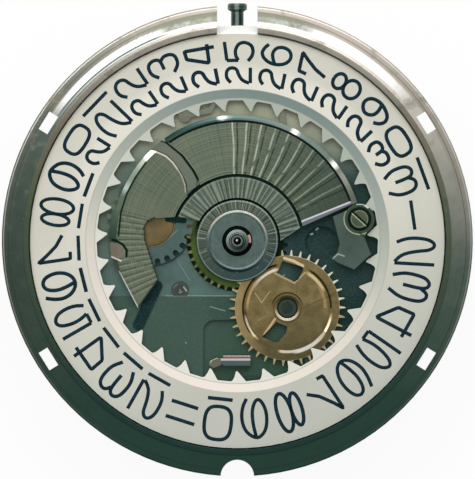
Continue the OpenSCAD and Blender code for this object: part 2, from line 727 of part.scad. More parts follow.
// Minute-work cover: the striped plate at the left, with the tongue that keeps the disc down
module minute_work_cover() {
  color("#66705f") {
    intersection() {
      slab(cover_z, cover_top_z) difference() {
        left_outline(cover_r);
        circle(r = fan_inner_r);
      }
      bevelled(cover_r - 0.02);
    }
    slab(cover_top_z - 0.07, cover_top_z) polygon([[-7.05, 0.02], [-6.4, 0.02], [-6.15, -0.3], [-6.15, -0.85],
      [-6.4, -1.12], [-6.95, -0.95]]);
    slab(cover_z, cover_z + 0.06) intersection() {
      circle(r = cover_r + 0.15);
      translate([-7.2, 0.1]) square([0.8, 1.6]);
    }
  }
}

// Centre cover: the half ring round the hub, hung on the calendar plate by a lip under it
module centre_cover() {
  color("#65705f") {
    slab(cover_z, cover_top_z) intersection() {
      ring(centre_cover_r, centre_cover_inner_r);
      polygon([[1, -0.98], [2.27, -0.07], [4.2, 1.22], [4, 5], [-4, 5], [-4, 1.5], [-2.2, 1.15]]);
    }
    slab(cover_z - 0.05, cover_z) intersection() {
      ring(fan_inner_r + 0.35, centre_cover_inner_r + 0.5);
      slice(6, 25, 115);
    }
  }
}

// Hub washer: a flat ring with a bevelled rim round its middle, pressed on the shoulder of the hour wheel
module hub_washer() {
  color("#56686c") translate([0, 0, hub_z]) rotate_extrude() polygon([[hub_hole_r, 0], [hub_r, 0],
    [hub_r, 0.05], [hub_r - 0.05, 0.09], [hub_cup_r + 0.03, 0.09], [hub_cup_r - 0.03, hub_t],
    [hub_cup_r - 0.16, 0.1], [hub_hole_r + 0.04, 0.1], [hub_hole_r, 0.07]]);
}

// Hour wheel: the wheel, the date pinion on it, and the pipe that the hour hand presses on
module hour_wheel() {
  color("#5f7a3c") difference() {
    union() {
      slab(hour_z, hour_z + motion_t) gear(hour_wheel_r, hour_teeth, hour_phase);
      slab(hour_z, drive_top_z) gear(date_pinion_r, date_pinion_teeth, date_pinion_phase);
      post(axis, hour_shoulder_r, hour_z, hub_z);
      post(axis, hub_hole_r - pivot_gap, hour_z, hour_step_z);
      post(axis, hour_seat_r, hour_z, hour_top_z);
    }
    post(axis, hour_bore_r, hour_z - over, hour_top_z + over);
  }
}

// Cannon pinion: its leaves drive the minute wheel, its pipe carries the minute hand
module cannon_pinion() {
  color("#8b8f88") difference() {
    union() {
      slab(minute_z, minute_z + motion_t) pinion(cannon_r, cannon_teeth, cannon_phase);
      post(axis, cannon_pipe_r, minute_z, hour_top_z + seat_rise);
      post(axis, minute_seat_r, minute_z, minute_top_z);
    }
    post(axis, cannon_bore_r, minute_z - over, minute_top_z + over);
  }
}

// A wheel with a bore on a post
module bored(p, z0, z1, r) {
  difference() {
    union() children();
    post(p, r, z0 - over, z1 + over);
  }
}

module minute_wheel() {
  top = hour_z + motion_t - 0.01;
  color("#a08c5a") bored(minute_pos, minute_z, top, wheel_post_r + pivot_gap) {
    slab(minute_z, minute_z + motion_t) translate(minute_pos) gear(minute_r, minute_teeth, minute_phase);
    slab(minute_z, top) translate(minute_pos) rotate(minute_pinion_phase)
      pinion(share(minute_dist, minute_pinion_teeth, hour_teeth), minute_pinion_teeth, 0);
  }
}

module setting_wheel() {
  color("#8f9490") bored(setting_pos, minute_z, minute_z + motion_t, wheel_post_r + pivot_gap)
    slab(minute_z, minute_z + motion_t) translate(setting_pos) gear(setting_r, setting_teeth, setting_phase);
}

// Intermediate wheel: round teeth over a small pinion that the minute wheel drives
module intermediate_wheel() {
  color("#6f7d7b") bored(inter_pos, minute_z, inter_post_top_z, wheel_post_r + pivot_gap) {
    slab(date_z, drive_top_z) translate(inter_pos) difference() {
      circle(r = inter_r + 0.19);
      for (i = [0 : inter_teeth - 1]) rotate((i + 0.5) * 360 / inter_teeth)
        bar([inter_r, 0], [inter_r + 1, 0], 0.3);
    }
    slab(minute_z, date_z) translate(inter_pos) pinion(inter_pinion_r, inter_pinion_teeth, inter_pinion_phase);
  }
}

module intermediate_core() {
  color("#7f6b4e") post(inter_pos, inter_core_r, drive_top_z, drive_top_z + 0.06);
}

// Corners of the two windows in the date driving wheel, from its centre
upper_window = [[-0.265, 2.605], [0.817, 2.285], [0.894, 2.136], [0.624, 1.595], [0.403, 1.446], [-0.563, 1.943]];
lower_window = [[-0.607, -0.767], [0.006, -1.015], [-0.066, -1.363], [-0.513, -1.904], [-0.806, -1.876],
  [-1.396, -1.584]];
emboss_h = 0.035;

// Date driving wheel: brass, with pointed teeth, two windows and an embossed middle between three grooves
module date_driving_wheel() {
  color("#a08a55") translate(date_pos) difference() {
    union() {
      slab(date_z, drive_top_z) polygon(gear_points(date_r, date_teeth, date_phase, 0.17, 0.06));
      post(axis, date_boss_r + 0.06, date_z, drive_top_z + emboss_h);
      post(axis, date_hub_r, date_z, drive_top_z + 2 * emboss_h);
    }
    slab(date_z - over, drive_top_z + over) polygon(upper_window);
    slab(date_z - over, drive_top_z + over) polygon(lower_window);
    for (g = [[105, 221], [-32, 55]]) intersection() {
      translate([0, 0, drive_top_z]) rotate_extrude() polygon([[date_boss_r + 0.02, over],
        [date_boss_r + 0.02, -0.06], [date_boss_r + 0.1, -0.06], [date_boss_r + 0.24, 0], [date_boss_r + 0.24, over]]);
      slab(date_z, drive_top_z + over) slice(date_r, g[0], g[1]);
    }
    post(axis, date_hole_r, date_z - over, drive_top_z + over);
  }
}

// Date finger: a thin spring blade on the date driving wheel, which bends when a tooth holds
module date_finger() {
  z = drive_top_z + 2 * emboss_h;
  color("#b89b5e") translate(date_pos) slab(z, z + 0.06) difference() {
    union() {
      circle(r = date_hub_r);
      rotate(finger_angle) polygon([[0.5, -0.3], [1.6, -0.2], [finger_r - 0.2, -finger_w / 2], [finger_r, 0],
        [finger_r - 0.15, finger_w / 2], [1.6, 0.14], [0.5, 0.3]]);
    }
    circle(r = date_hole_r + 0.02);
  }
}

// Date wheel screw: the slotted post that the date driving wheel turns on
module date_wheel_screw() {
  top = drive_top_z + 2 * emboss_h - 0.02;
  color("#5d6f70") difference() {
    union() {
      post(date_pos, date_hole_r - pivot_gap, floor_z, top);
      post(date_pos, 0.3, plate_z + 0.1, floor_z);
    }
    translate([date_pos[0], date_pos[1], top - 0.06]) rotate(80) translate([-1, -0.05, 0]) cube([2, 0.1, 1]);
  }
}

jumper_z = disc_z + 0.01;

// Date jumper: a block with a spring blade whose tip lies between two teeth of the disc
module date_jumper() {
  t = 0.08;
  color("#8f9893") {
    slab(floor_z, jumper_z + t + 0.04) translate([-0.78, -6.92]) square([1.5, 0.3]);
    slab(jumper_z, jumper_z + t + 0.08) translate([-0.78, -6.62]) square([1.5, 0.3]);
    slab(jumper_z, jumper_z + t) polygon([[-0.7, -6.75], [-0.7, -6.5], [-1.15, -6.46], [-1.5, -6.62],
      [-1.56, -6.85], [-1.3, -7.02], [-1.02, -6.9]]);
  }
}

// Disc keeper: the plate that holds the toothed edge down, with its bent corner
module disc_keeper() {
  color("#5b6c69") slab(keeper_z, keeper_z + keeper_t) difference() {
    union() {
      polygon([[6.24, 1.76], [5.27, 1.34], [5.52, 0.4], [5.65, -0.14], [5.52, -0.65], [5.23, -0.99],
        [5.56, -1.2], [6.45, -1.58], [7.42, -0.7], [7.04, 0.24], [7.3, 0.8]]);
      translate(keeper_pos) circle(r = keeper_seat_r);
    }
    translate(keeper_pos) circle(r = 0.2);
  }
}

module keeper_screw() {
  head_t = dial_seat_z - 0.02 - keeper_z - keeper_t;
  color("#6d7f78") screw(keeper_pos, keeper_head_r, head_t, 0.15, 0.45, keeper_z + keeper_t + head_t, -1, -42);
}

// A solid of revolution about the stem's axis, from one distance along Y to another
module along_stem(y0, y1, r) {
  translate([0, y0, stem_z]) rotate([-90, 0, 0]) cylinder(h = y1 - y0, r = r);
}

groove_half = lever_pin_r + 0.07;
stem_pivot_y = stem_wall_y - stem_pull + 0.1;
square_y = sliding_y - 0.4;
square_end_y = sliding_y + sliding_l + 0.1;
winding_y = sliding_y + sliding_l + 0.05;
lug_h = 0.18;
lug_count = 8;

// Stem: inner pivot, square, shaft with the setting lever's groove, and the threaded end outside the case
module stem() {
  color("#3f4c4a") {
    along_stem(stem_pivot_y, square_y + 0.01, stem_pivot_r);
    translate([-square_w / 2, square_y, stem_z - square_w / 2]) cube([square_w, square_end_y - square_y, square_w]);
    along_stem(square_end_y - 0.01, groove_y - groove_half, stem_r);
    along_stem(groove_y - groove_half - 0.01, groove_y + groove_half + 0.01, stem_pivot_r);
    along_stem(groove_y + groove_half, stem_end_y - stem_head_l, stem_r);
    translate([0, stem_end_y - stem_head_l, stem_z]) rotate([-90, 0, 0]) rotate_extrude()
      polygon([[0, -0.01], [stem_r, -0.01], [stem_head_r, 0.12], [stem_head_r, stem_head_l - 0.08],
        [stem_head_r - 0.08, stem_head_l], [0, stem_head_l]]);
  }
}

// Winding pinion: twelve teeth for the crown wheel, and lugs that the sliding pinion drives
module winding_pinion() {
  color("#838b88") translate([0, winding_y, stem_z]) rotate([-90, 0, 0]) difference() {
    union() {
      cylinder(h = winding_l, r = winding_r * 0.8);
      translate([0, 0, 0.15]) linear_extrude(winding_l - 0.35)
        rotate(90) pinion(winding_r * 0.9, winding_teeth, 0);
      for (i = [0 : lug_count - 1]) rotate(360 * i / lug_count)
        translate([0.45, -0.09, -lug_h]) cube([0.28, 0.18, lug_h + 0.01]);
    }
    translate([0, 0, -over]) cylinder(h = winding_l + 2 * over, r = stem_r + pivot_gap);
  }
}

// Sliding pinion: slots for the lugs at its outer end, teeth at its inner end, a groove for the yoke
module sliding_pinion() {
  color("#7b8481") translate([0, sliding_y, stem_z]) rotate([-90, 0, 0]) difference() {
    cylinder(h = sliding_l, r = sliding_r);
    translate([0, 0, yoke_y - sliding_y - 0.18]) difference() {
      cylinder(h = 0.36, r = sliding_r + over);
      translate([0, 0, -over]) cylinder(h = 1 + 2 * over, r = 0.55);
    }
    translate([-square_w / 2 - 0.03, -square_w / 2 - 0.03, -over])
      cube([square_w + 0.06, square_w + 0.06, sliding_l + 2 * over]);
    for (i = [0 : lug_count - 1]) rotate(360 * i / lug_count)
      translate([0.4, -0.13, sliding_l - lug_h - 0.01]) cube([1, 0.26, 1]);
    for (i = [0 : winding_teeth - 1]) rotate(360 * (i + 0.5) / winding_teeth)
      translate([0.5, -0.08, -over]) cube([1, 0.16, over + 0.15]);
  }
}

lever_z = floor_z + pass_gap;

// Setting lever: its pin lies in the stem's groove
module setting_lever() {
  color("#727d7a") bored(lever_pivot, lever_z, lever_z + lever_t, wheel_post_r + pivot_gap) {
    translate([lever_pivot[0], lever_pivot[1], 0]) rotate(lever_rest) {
      slab(lever_z, lever_z + lever_t) {
        circle(r = 0.62);
        bar([0, 0], [lever_reach, 0], 0.6);
        bar([0, 0], [0.35, -1.5], 0.45);
      }
      post([lever_reach, 0], lever_pin_r, stem_z + stem_pivot_r + 0.03, lever_z + 0.01);
    }
  }
}

// Yoke: its finger lies in the groove of the sliding pinion
module yoke() {
  color("#727d7a") bored(yoke_pivot, lever_z, lever_z + lever_t, wheel_post_r + pivot_gap) {
    translate([yoke_pivot[0], yoke_pivot[1], 0]) rotate(yoke_rest) {
      slab(lever_z, lever_z + lever_t) {
        circle(r = 0.55);
        bar([0, 0], [-yoke_pivot[0], 0], 0.42);
        bar([0, 0], [-0.5, 1.7], 0.34);
      }
      slab(stem_z + 0.58, lever_z + 0.01) translate([-yoke_pivot[0] - 0.18, -yoke_finger_w / 2])
        square([0.36, yoke_finger_w]);
    }
  }
}

// Setting lever spring: a plate over the lever, with the arm that holds it in its two places
module setting_lever_spring() {
  z = lever_z + lever_t + 0.04;
  color("#7d8784") {
    slab(z, z + 0.1) {
      bar([-3.05, 8.1], [-2.9, 6.9], 0.7);
      bar([-2.9, 6.9], [-1.5, 7.2], 0.3);
      bar([-1.5, 7.2], [-0.9, 8.3], 0.26);
    }
    post([-3.05, 7.5], 0.28, floor_z, z);
  }
}

crown_ceiling_z = bridge_z + 0.42;
ratchet_z = crown_ceiling_z - pass_gap - ratchet_t;
crown_core_r = 0.7;
crown_phase = 90;
ratchet_phase = mesh(bearing(crown_pos, barrel_pos), crown_phase, crown_teeth, ratchet_teeth);
reduction_pinion_phase =
  mesh(bearing(barrel_pos, reduction_pos), ratchet_phase, ratchet_teeth, reduction_pinion_teeth);

// Crown wheel: the winding pinion turns it, and it turns the ratchet wheel
module crown_wheel() {
  color("#9aa19d") slab(ratchet_z, ratchet_z + ratchet_t) difference() {
    translate(crown_pos) gear(crown_r, crown_teeth, crown_phase);
    translate(crown_pos) circle(r = crown_core_r + pivot_gap);
  }
}

module ratchet_wheel() {
  color("#a2a8a3") slab(ratchet_z, ratchet_z + ratchet_t) difference() {
    translate(barrel_pos) gear(ratchet_r, ratchet_teeth, ratchet_phase);
    translate(barrel_pos) square(arbor_square_w, center = true);
  }
}

arbor_square_w = 0.8;
arbor_pivot_r = 0.5;

module ratchet_screw() {
  color("#49606e") screw(barrel_pos, 0.95, 0.16, 0.2, 0.7, ratchet_z - 0.16, 1, 35);
}

// Click: it stops the ratchet wheel from turning back
click_pivot = at(barrel_pos, ratchet_r + 1.15, 62);
click_tip = at(barrel_pos, ratchet_r + 0.5, 50);
click_post_r = 0.25;

module click() {
  color("#8d9592") slab(ratchet_z + 0.03, ratchet_z + ratchet_t) difference() {
    union() {
      translate(click_pivot) circle(r = click_w * 0.7);
      bar(click_pivot, click_tip, click_w * 0.7);
    }
    translate(click_pivot) circle(r = click_post_r + pivot_gap);
  }
}

// Click spring: a bent wire that presses on the click
module click_spring() {
  color("#b4b9b4") slab(ratchet_z + 0.08, ratchet_z + 0.22) {
    bar(at(barrel_pos, ratchet_r + 0.95, 40), at(barrel_pos, ratchet_r + 0.62, 30), 0.12);
    bar(at(barrel_pos, ratchet_r + 0.62, 30), at(barrel_pos, ratchet_r + 0.42, 22), 0.12);
  }
}

drum_cavity_r = drum_r - drum_wall;
lid_t = 0.1;
lid_inside_z = drum_z + lid_t + 0.02;
drum_roof_z = drum_top_z - 0.12;
barrel_phase = 0;

// Barrel drum with its teeth round the top edge
module barrel_drum() {
  color("#a79663") difference() {
    union() {
      post(barrel_pos, drum_r, drum_z, drum_top_z);
      slab(barrel_tooth_z, drum_top_z) translate(barrel_pos) gear(barrel_r, barrel_teeth, barrel_phase);
    }
    post(barrel_pos, drum_cavity_r, drum_z - over, drum_roof_z);
    post(barrel_pos, arbor_pivot_r + pivot_gap, drum_z - over, drum_top_z + over);
  }
}

module barrel_lid() {
  color("#a0905f") difference() {
    post(barrel_pos, drum_cavity_r - 0.01, drum_z, drum_z + lid_t);
    post(barrel_pos, arbor_pivot_r + pivot_gap, drum_z - over, drum_z + over);
  }
}

// Barrel arbor: pivots in plate and bridge, a core for the mainspring, a square for the ratchet wheel
module barrel_arbor() {
  color("#8c9490") difference() {
    union() {
      post(barrel_pos, arbor_pivot_r, crown_ceiling_z - 0.02, plate_z + 0.35);
      post(barrel_pos, arbor_r, lid_inside_z + 0.02, drum_roof_z - 0.03);
      slab(ratchet_z, crown_ceiling_z) translate(barrel_pos) square(arbor_square_w - 0.02, center = true);
    }
    post(barrel_pos, 0.21, ratchet_z - over, ratchet_z + 0.8);
  }
}

// The outline of a spiral ribbon from an inner to an outer radius
function spiral(r0, r1, turns, n, w) = concat(
  [for (i = [0 : n * turns]) at(axis, r0 + (r1 - r0) * i / (n * turns) - w / 2, 360 * i / n)],
  [for (i = [n * turns : -1 : 0]) at(axis, r0 + (r1 - r0) * i / (n * turns) + w / 2, 360 * i / n)]);

module mainspring() {
  color("#6f7f8c") slab(lid_inside_z + 0.04, drum_roof_z - 0.05) translate(barrel_pos)
    polygon(spiral(arbor_r + spring_w, drum_cavity_r - spring_w, spring_turns, 20, spring_w));
}

centre_pinion_phase =
  mesh(barrel_angle + 180, barrel_phase, barrel_teeth, centre_pinion_teeth);
centre_phase = 0;
third_pinion_phase = mesh(third_angle, centre_phase, centre_teeth, third_pinion_teeth);
fourth_pinion_phase = 0;
third_phase = mesh(third_angle, fourth_pinion_phase, fourth_pinion_teeth, third_teeth);
fourth_phase = 0;
escape_pinion_phase = mesh(escape_angle, fourth_phase, fourth_teeth, escape_pinion_teeth);
// The escape wheel stands so that both pallets lie a quarter of a tooth away from its teeth
pallet_spread = 30;
escape_phase = fork_angle + pallet_spread + 90 / escape_teeth;
pivot_r = 0.08;
jewel_r = 0.4;
jewel_t = 0.3;
jewel_top_z = plate_z + 0.33;
shake = 0.03;
centre_bridge_z = 3.05;
centre_bridge_t = 0.25;
centre_foot = [0, -5.6];
pallet_bridge_z = 3.18;
pallet_bridge_t = 0.14;

// A train wheel's rim and spokes
module spoked(r, n, phase, count) {
  difference() {
    gear(r, n, phase);
    spoke_windows(root_of(r, n) - 0.32, 0.75, count, spoke_w);
  }
}

// An arbor between two levels with a pivot beyond each end
module arbor(p, z0, z1, low, high) {
  post(p, train_arbor_r, z0, z1);
  post(p, pivot_r, z0 - low, z1 + high);
}

// Centre wheel: the barrel turns its pinion, and its tube carries the cannon pinion
module centre_wheel() {
  color("#a89862") difference() {
    union() {
      slab(centre_z, centre_z + centre_t) spoked(centre_wheel_r, centre_teeth, centre_phase, 4);
      slab(centre_bridge_z + centre_bridge_t + shake, centre_z)
        pinion(centre_pinion_r, centre_pinion_teeth, centre_pinion_phase);
      post(axis, tube_r, centre_bridge_z + 0.02, minute_top_z - 0.08);
    }
    post(axis, tube_bore_r, centre_bridge_z - over, minute_top_z + over);
  }
}

// Centre bridge: it holds the lower end of the centre wheel
module centre_bridge() {
  color("#8c948c") difference() {
    union() {
      slab(centre_bridge_z, centre_bridge_z + centre_bridge_t) bar(axis, centre_foot, 1.3);
      post(centre_foot, 0.6, centre_bridge_z, plate_z);
    }
    post(axis, tube_r + pivot_gap, centre_bridge_z - over, plate_z);
  }
}

module third_wheel() {
  color("#a89862") {
    slab(third_z, third_z + train_t - 0.01) translate(third_pos) spoked(third_wheel_r, third_teeth, third_phase, 5);
    slab(centre_z - 0.04, plate_z - shake) translate(third_pos)
      pinion(third_pinion_r, third_pinion_teeth, third_pinion_phase);
    arbor(third_pos, bridge_top_z + shake, plate_z - shake, 0.3, 0.62);
  }
}

// Fourth wheel: it turns once a minute, and its long pivot carries the seconds hand
module fourth_wheel() {
  color("#a89862") {
    slab(fourth_z, fourth_z + train_t) spoked(fourth_wheel_r, fourth_teeth, fourth_phase, 4);
    slab(fourth_z, fourth_pinion_top_z) pinion(fourth_pinion_r, fourth_pinion_teeth, fourth_pinion_phase);
    post(axis, seconds_arbor_r, bridge_top_z + shake, minute_top_z + seat_rise);
    post(axis, seconds_seat_r, bridge_top_z + shake, seconds_top_z);
    post(axis, pivot_r, bridge_top_z - 0.3, bridge_top_z + shake);
  }
}

// Escape wheel: fifteen slanted club teeth
module escape_wheel() {
  color("#9aa3a0") {
    slab(escape_z, escape_z + escape_t) translate(escape_pos) difference() {
      union() {
        circle(r = escape_r * 0.76);
        for (i = [0 : escape_teeth - 1]) rotate(escape_phase + 360 * i / escape_teeth)
          polygon([at(axis, escape_r * 0.74, -7), at(axis, escape_r - 0.06, -2), at(axis, escape_r, 1.5),
            at(axis, escape_r - 0.12, 1.8), at(axis, escape_r * 0.74, -1)]);
      }
      spoke_windows(escape_r * 0.64, 0.42, 4, 0.2);
    }
    slab(fourth_z - 0.03, fourth_z + train_t + 0.03) translate(escape_pos)
      pinion(escape_pinion_r, escape_pinion_teeth, escape_pinion_phase);
    arbor(escape_pos, bridge_top_z + shake, plate_z - shake, 0.28, 0.25);
  }
}

roller_r = 0.52;
impulse_r = 0.42;
fork_gap = 0.07;

// Pallet fork: two arms with their stones, and the lever towards the balance
module pallet_fork() {
  tip = fork_reach - impulse_r - fork_gap - 0.06;
  color("#9aa3a0") {
    slab(escape_z, escape_z + escape_t) {
      for (s = [-1, 1]) bar(fork_pos, at(escape_pos, fork_dist + 0.02, fork_angle + s * pallet_spread), 0.24);
      translate(fork_pos) rotate(fork_angle) difference() {
        union() {
          bar([0, 0], [tip - 0.3, 0], 0.22);
          translate([tip - 0.35, -0.2]) square([0.35, 0.4]);
        }
        translate([tip - 0.25, -0.1]) square([1, 0.2]);
      }
    }
    for (s = [-1, 1]) translate([escape_pos[0], escape_pos[1], escape_z]) rotate(fork_angle + s * pallet_spread)
      translate([escape_r + 0.05, -0.07, 0]) cube([0.3, 0.14, escape_t]);
    arbor(fork_pos, pallet_bridge_z + pallet_bridge_t + shake, plate_z - shake, pallet_bridge_t, 0.25);
  }
}

module pallet_bridge() {
  far = [-6.4, 2.6];
  near = [-5.3, -1.2];
  color("#8c948c") difference() {
    union() {
      slab(pallet_bridge_z, pallet_bridge_z + pallet_bridge_t) {
        bar(far, fork_pos, 0.7);
        bar(fork_pos, near, 0.7);
      }
      for (p = [far, near]) post(p, 0.35, pallet_bridge_z, plate_z);
    }
    post(fork_pos, pivot_r + pivot_gap, pallet_bridge_z - over, plate_z);
  }
}

// Balance wheel with its staff, roller and impulse pin
module balance_wheel() {
  color("#c2a75c") {
    slab(balance_z, balance_z + balance_t) translate(balance_pos) ring(balance_r, balance_r - balance_rim_w);
    slab(balance_z, balance_z + 0.12) translate(balance_pos) {
      circle(r = 0.5);
      for (i = [0 : 2]) rotate(40 + 120 * i) translate([0, -0.17]) square([balance_r - 0.1, 0.34]);
    }
    post(balance_pos, roller_r, balance_z + 0.34, balance_z + 0.44);
    post(at(balance_pos, impulse_r, fork_angle + 180), 0.06, balance_z + 0.43, escape_z + escape_t);
    arbor(balance_pos, bridge_top_z + shake, plate_z - shake, 0.3, 0.25);
  }
}

hair_z = bridge_top_z + 0.1;
hair_t = 0.1;
collet_r = 0.35;

module hairspring() {
  color("#4a5f88") slab(hair_z, hair_z + hair_t) translate(balance_pos) {
    difference() {
      circle(r = collet_r);
      circle(r = train_arbor_r + 0.01);
    }
    polygon(spiral(collet_r, hair_r, hair_turns, 20, 0.05));
  }
}

// Balance cock: its foot stands on the main plate, its arm reaches over the balance
module balance_cock() {
  foot = at(axis, plate_r - 2, (cock_a0 + cock_a1) / 2);
  color("#8f978f") difference() {
    union() {
      slab(bridge_z, bridge_top_z) {
        cock_foot();
        bar(foot, balance_pos, 2);
        translate(balance_pos) circle(r = 1.15);
      }
      slab(bridge_z, plate_z) difference() {
        cock_foot();
        translate(balance_pos) circle(r = balance_room_r);
      }
    }
    post(balance_pos, jewel_r, bridge_z - over, bridge_top_z + over);
    post(cock_screw, 0.22, bridge_z - over, plate_z + over);
  }
}

cock_screw = at(axis, plate_r - 1.7, 223);

module cock_foot() {
  difference() {
    slice(plate_r - 0.02, cock_a0, cock_a1);
    circle(r = 8.6);
  }
}

// Regulator: a ring round the upper jewel with its pointer and the arm of the hairspring stud
module regulator() {
  color("#b9bfba") slab(bridge_z - 0.12, bridge_z) translate(balance_pos) difference() {
    union() {
      circle(r = 0.95);
      bar([0, 0], at(axis, 2.1, 100), 0.3);
      bar([0, 0], at(axis, 1.7, 30), 0.42);
      bar([0, 0], at(axis, 1.5, 175), 0.36);
    }
    circle(r = 0.6);
  }
}

cap = plate_r - 0.02;
// Screws of the bridges: the plate has a pillar under each
bridge_screw_pos = [for (a = [72, 50, -20, -50]) at(axis, plate_r - 0.85, a)];
train_screw_pos = [at(axis, plate_r - 1, 252), at(axis, plate_r - 1, 284), at(axis, plate_r - 0.9, 135)];
auto_feet = [[-1.7, 1.5], [0.6, -5.9], [7.6, -6.4]];
split = [[-4.1, 6.2], [-3.4, 4.2], [-3.1, 3.1], [-1.9, 2.35], [0.45, 1.35], [0.75, -0.75], [2, -2.75], [3.2, -7.1], [3.9, -12.5]];
bridge_gap = 0.06;

// Barrel bridge, with the pockets of the crown wheel and the ratchet wheel in its outer face
module barrel_bridge() {
  color("#8f978f") difference() {
    slab(bridge_z, bridge_top_z) intersection() {
      circle(r = cap);
      polygon(concat([[13, -12.5], [13, 13], [-3.6, 13]], [for (p = split) p + [bridge_gap, bridge_gap]]));
    }
    post(balance_pos, balance_room_r, bridge_z - over, bridge_top_z + over);
    post(barrel_pos, tip_of(ratchet_r, ratchet_teeth) + pocket_gap, bridge_z - over, crown_ceiling_z);
    difference() {
      post(crown_pos, tip_of(crown_r, crown_teeth) + pocket_gap, bridge_z - over, crown_ceiling_z);
      post(crown_pos, crown_core_r, ratchet_z, crown_ceiling_z + over);
    }
    post(reduction_pos, tip_of(reduction_pinion_r, reduction_pinion_teeth) + pocket_gap, bridge_z - over,
      crown_ceiling_z);
    slab(bridge_z - over, crown_ceiling_z) {
      strap(click_pivot, click_tip, click_w + 0.5);
      strap(at(barrel_pos, ratchet_r + 0.95, 44), at(barrel_pos, ratchet_r + 0.6, 24), 0.6);
    }
    // Room for the winding pinion over the rim of the crown wheel
    slab(bridge_z + 0.1, bridge_top_z + over) translate([-winding_r - pocket_gap, winding_y - 0.05])
      square([2 * (winding_r + pocket_gap), winding_l + 0.2]);
    post(barrel_pos, arbor_pivot_r + pivot_gap, bridge_z - over, bridge_top_z + over);
    post(reduction_pos, pivot_r + pivot_gap, bridge_z - over, bridge_top_z + over);
    for (p = bridge_screw_pos) post(p, 0.22, bridge_z - over, bridge_top_z + over);
    post(auto_feet[2], 0.22, bridge_z - over, bridge_top_z - 0.1);
    post(crown_pos, 0.22, bridge_z - over, bridge_top_z - 0.05);
  }
  color("#8f978f") post(click_pivot, click_post_r, ratchet_z, crown_ceiling_z + 0.01);
}

// Train bridge: the lower jewels of the third, fourth and escape wheels
module train_bridge() {
  color("#8f978f") difference() {
    slab(bridge_z, bridge_top_z) intersection() {
      circle(r = cap);
      polygon(concat([for (p = split) p - [bridge_gap, bridge_gap]],
        [[-4.6, -12.5], [-5.9, -7.8], [-4.9, -4.6], [-4.3, -3.2], [-3.9, -2], [-4, 0.2], [-4.9, 1.6],
        [-5.7, 3.3], [-9.6, 6.9], [-6.7, 10]]));
    }
    post(balance_pos, balance_room_r, bridge_z - over, bridge_top_z + over);
    slab(bridge_z - over, bridge_top_z + over) difference() {
      slice(plate_r + over, cock_a0 - 1, cock_a1 + 0.6);
      circle(r = 8.5);
    }
    for (p = [axis, third_pos, escape_pos]) post(p, jewel_r, bridge_z - over, bridge_top_z + over);
    for (p = train_screw_pos) post(p, 0.22, bridge_z - over, bridge_top_z + over);
    for (i = [0, 1]) post(auto_feet[i], 0.22, bridge_z - over, bridge_top_z - 0.1);
  }
}

jewel_bore_r = pivot_r + pivot_gap;

module jewel(p, r, z0, z1) {
  difference() {
    post(p, r, z0, z1);
    post(p, jewel_bore_r, z0 - over, z1 + over);
  }
}

// Jewels: bearings pressed into the main plate, the train bridge and the balance cock
module jewels() {
  color("#c2305a") {
    jewel(third_pos, 0.5, floor_z - 0.5, floor_z);
    for (p = [escape_pos, fork_pos, balance_pos]) jewel(p, jewel_r, plate_z, jewel_top_z);
    for (p = [third_pos, axis, escape_pos, balance_pos])
      jewel(p, jewel_r, bridge_top_z - jewel_t - 0.05, bridge_top_z);
  }
}

// Bridge screws: slotted heads on the outer faces
module bridge_screws() {
  color("#49606e") {
    for (i = [0 : 3]) screw(bridge_screw_pos[i], 0.55, 0.13, 0.2, 1.3, bridge_z - 0.13, 1, 30 + 47 * i);
    for (i = [0 : 2]) screw(train_screw_pos[i], 0.55, 0.13, 0.2, 1.3, bridge_z - 0.13, 1, 70 * i);
    screw(cock_screw, 0.55, 0.13, 0.2, 2.4, bridge_z - 0.13, 1, 15);
    screw(crown_pos, 1, 0.13, 0.2, 0.4, ratchet_z - 0.13, 1, 60);
    for (i = [0 : 2]) screw(auto_feet[i], 0.5, 0.12, 0.2, 1.1, auto_bridge_z - 0.06, 1, 20 + 50 * i);
  }
}

reduction_phase = 0;
reversing_pinion_phase =
  mesh(bearing(reduction_pos, reversing_pos), reduction_phase, reduction_teeth, reversing_pinion_teeth);
reversing_phase = mesh(reversing_angle, 0, rotor_gear_teeth, reversing_teeth);
reversing_arbor_r = 0.22;
reduction_arbor_r = 0.14;
rotor_screw_r = 0.45;
race_inner_r = rotor_screw_r + pivot_gap;
race_gap = 0.1;
ball_z = 0.6;

// Automatic bridge: it carries the rotor bearing and the wheels that wind the barrel
module automatic_bridge() {
  color("#8a938b") difference() {
    union() {
      slab(auto_bridge_z, auto_bridge_top_z) {
        circle(r = 2.7);
        strap(axis, [3.9, -2.2], 4.2);
        translate(reduction_pos) circle(r = 2.5);
        strap(axis, auto_feet[0], 1.3);
        strap([0.3, -2], auto_feet[1], 1.4);
        strap(reduction_pos, auto_feet[2], 1.5);
        for (p = auto_feet) translate(p) circle(r = 0.75);
      }
      for (p = auto_feet) post(p, 0.6, auto_bridge_z, bridge_z);
    }
    for (p = auto_feet) {
      post(p, 0.22, auto_bridge_z - over, bridge_z + over);
      post(p, 0.52, auto_bridge_z - over, auto_bridge_z + 0.06);
    }
    post(axis, race_inner_r, auto_bridge_z - over, auto_bridge_top_z + over);
    post(reversing_pos, reversing_arbor_r + pivot_gap, auto_bridge_z - over, auto_bridge_top_z + over);
    post(reduction_pos, reduction_arbor_r + pivot_gap, auto_bridge_z - over, auto_bridge_top_z + over);
  }
}

// Reversing wheel: the rotor gear turns it to and fro on the arbor of the reversing pinion
module reversing_wheel() {
  color("#a9965f") slab(rotor_gear_z, rotor_gear_z + rotor_gear_t) translate(reversing_pos) difference() {
    gear(reversing_r, reversing_teeth, reversing_phase);
    circle(r = reversing_arbor_r + pivot_gap);
    for (i = [0 : 4]) rotate(72 * i) translate([1.02, 0]) circle(r = 0.34);
  }
}

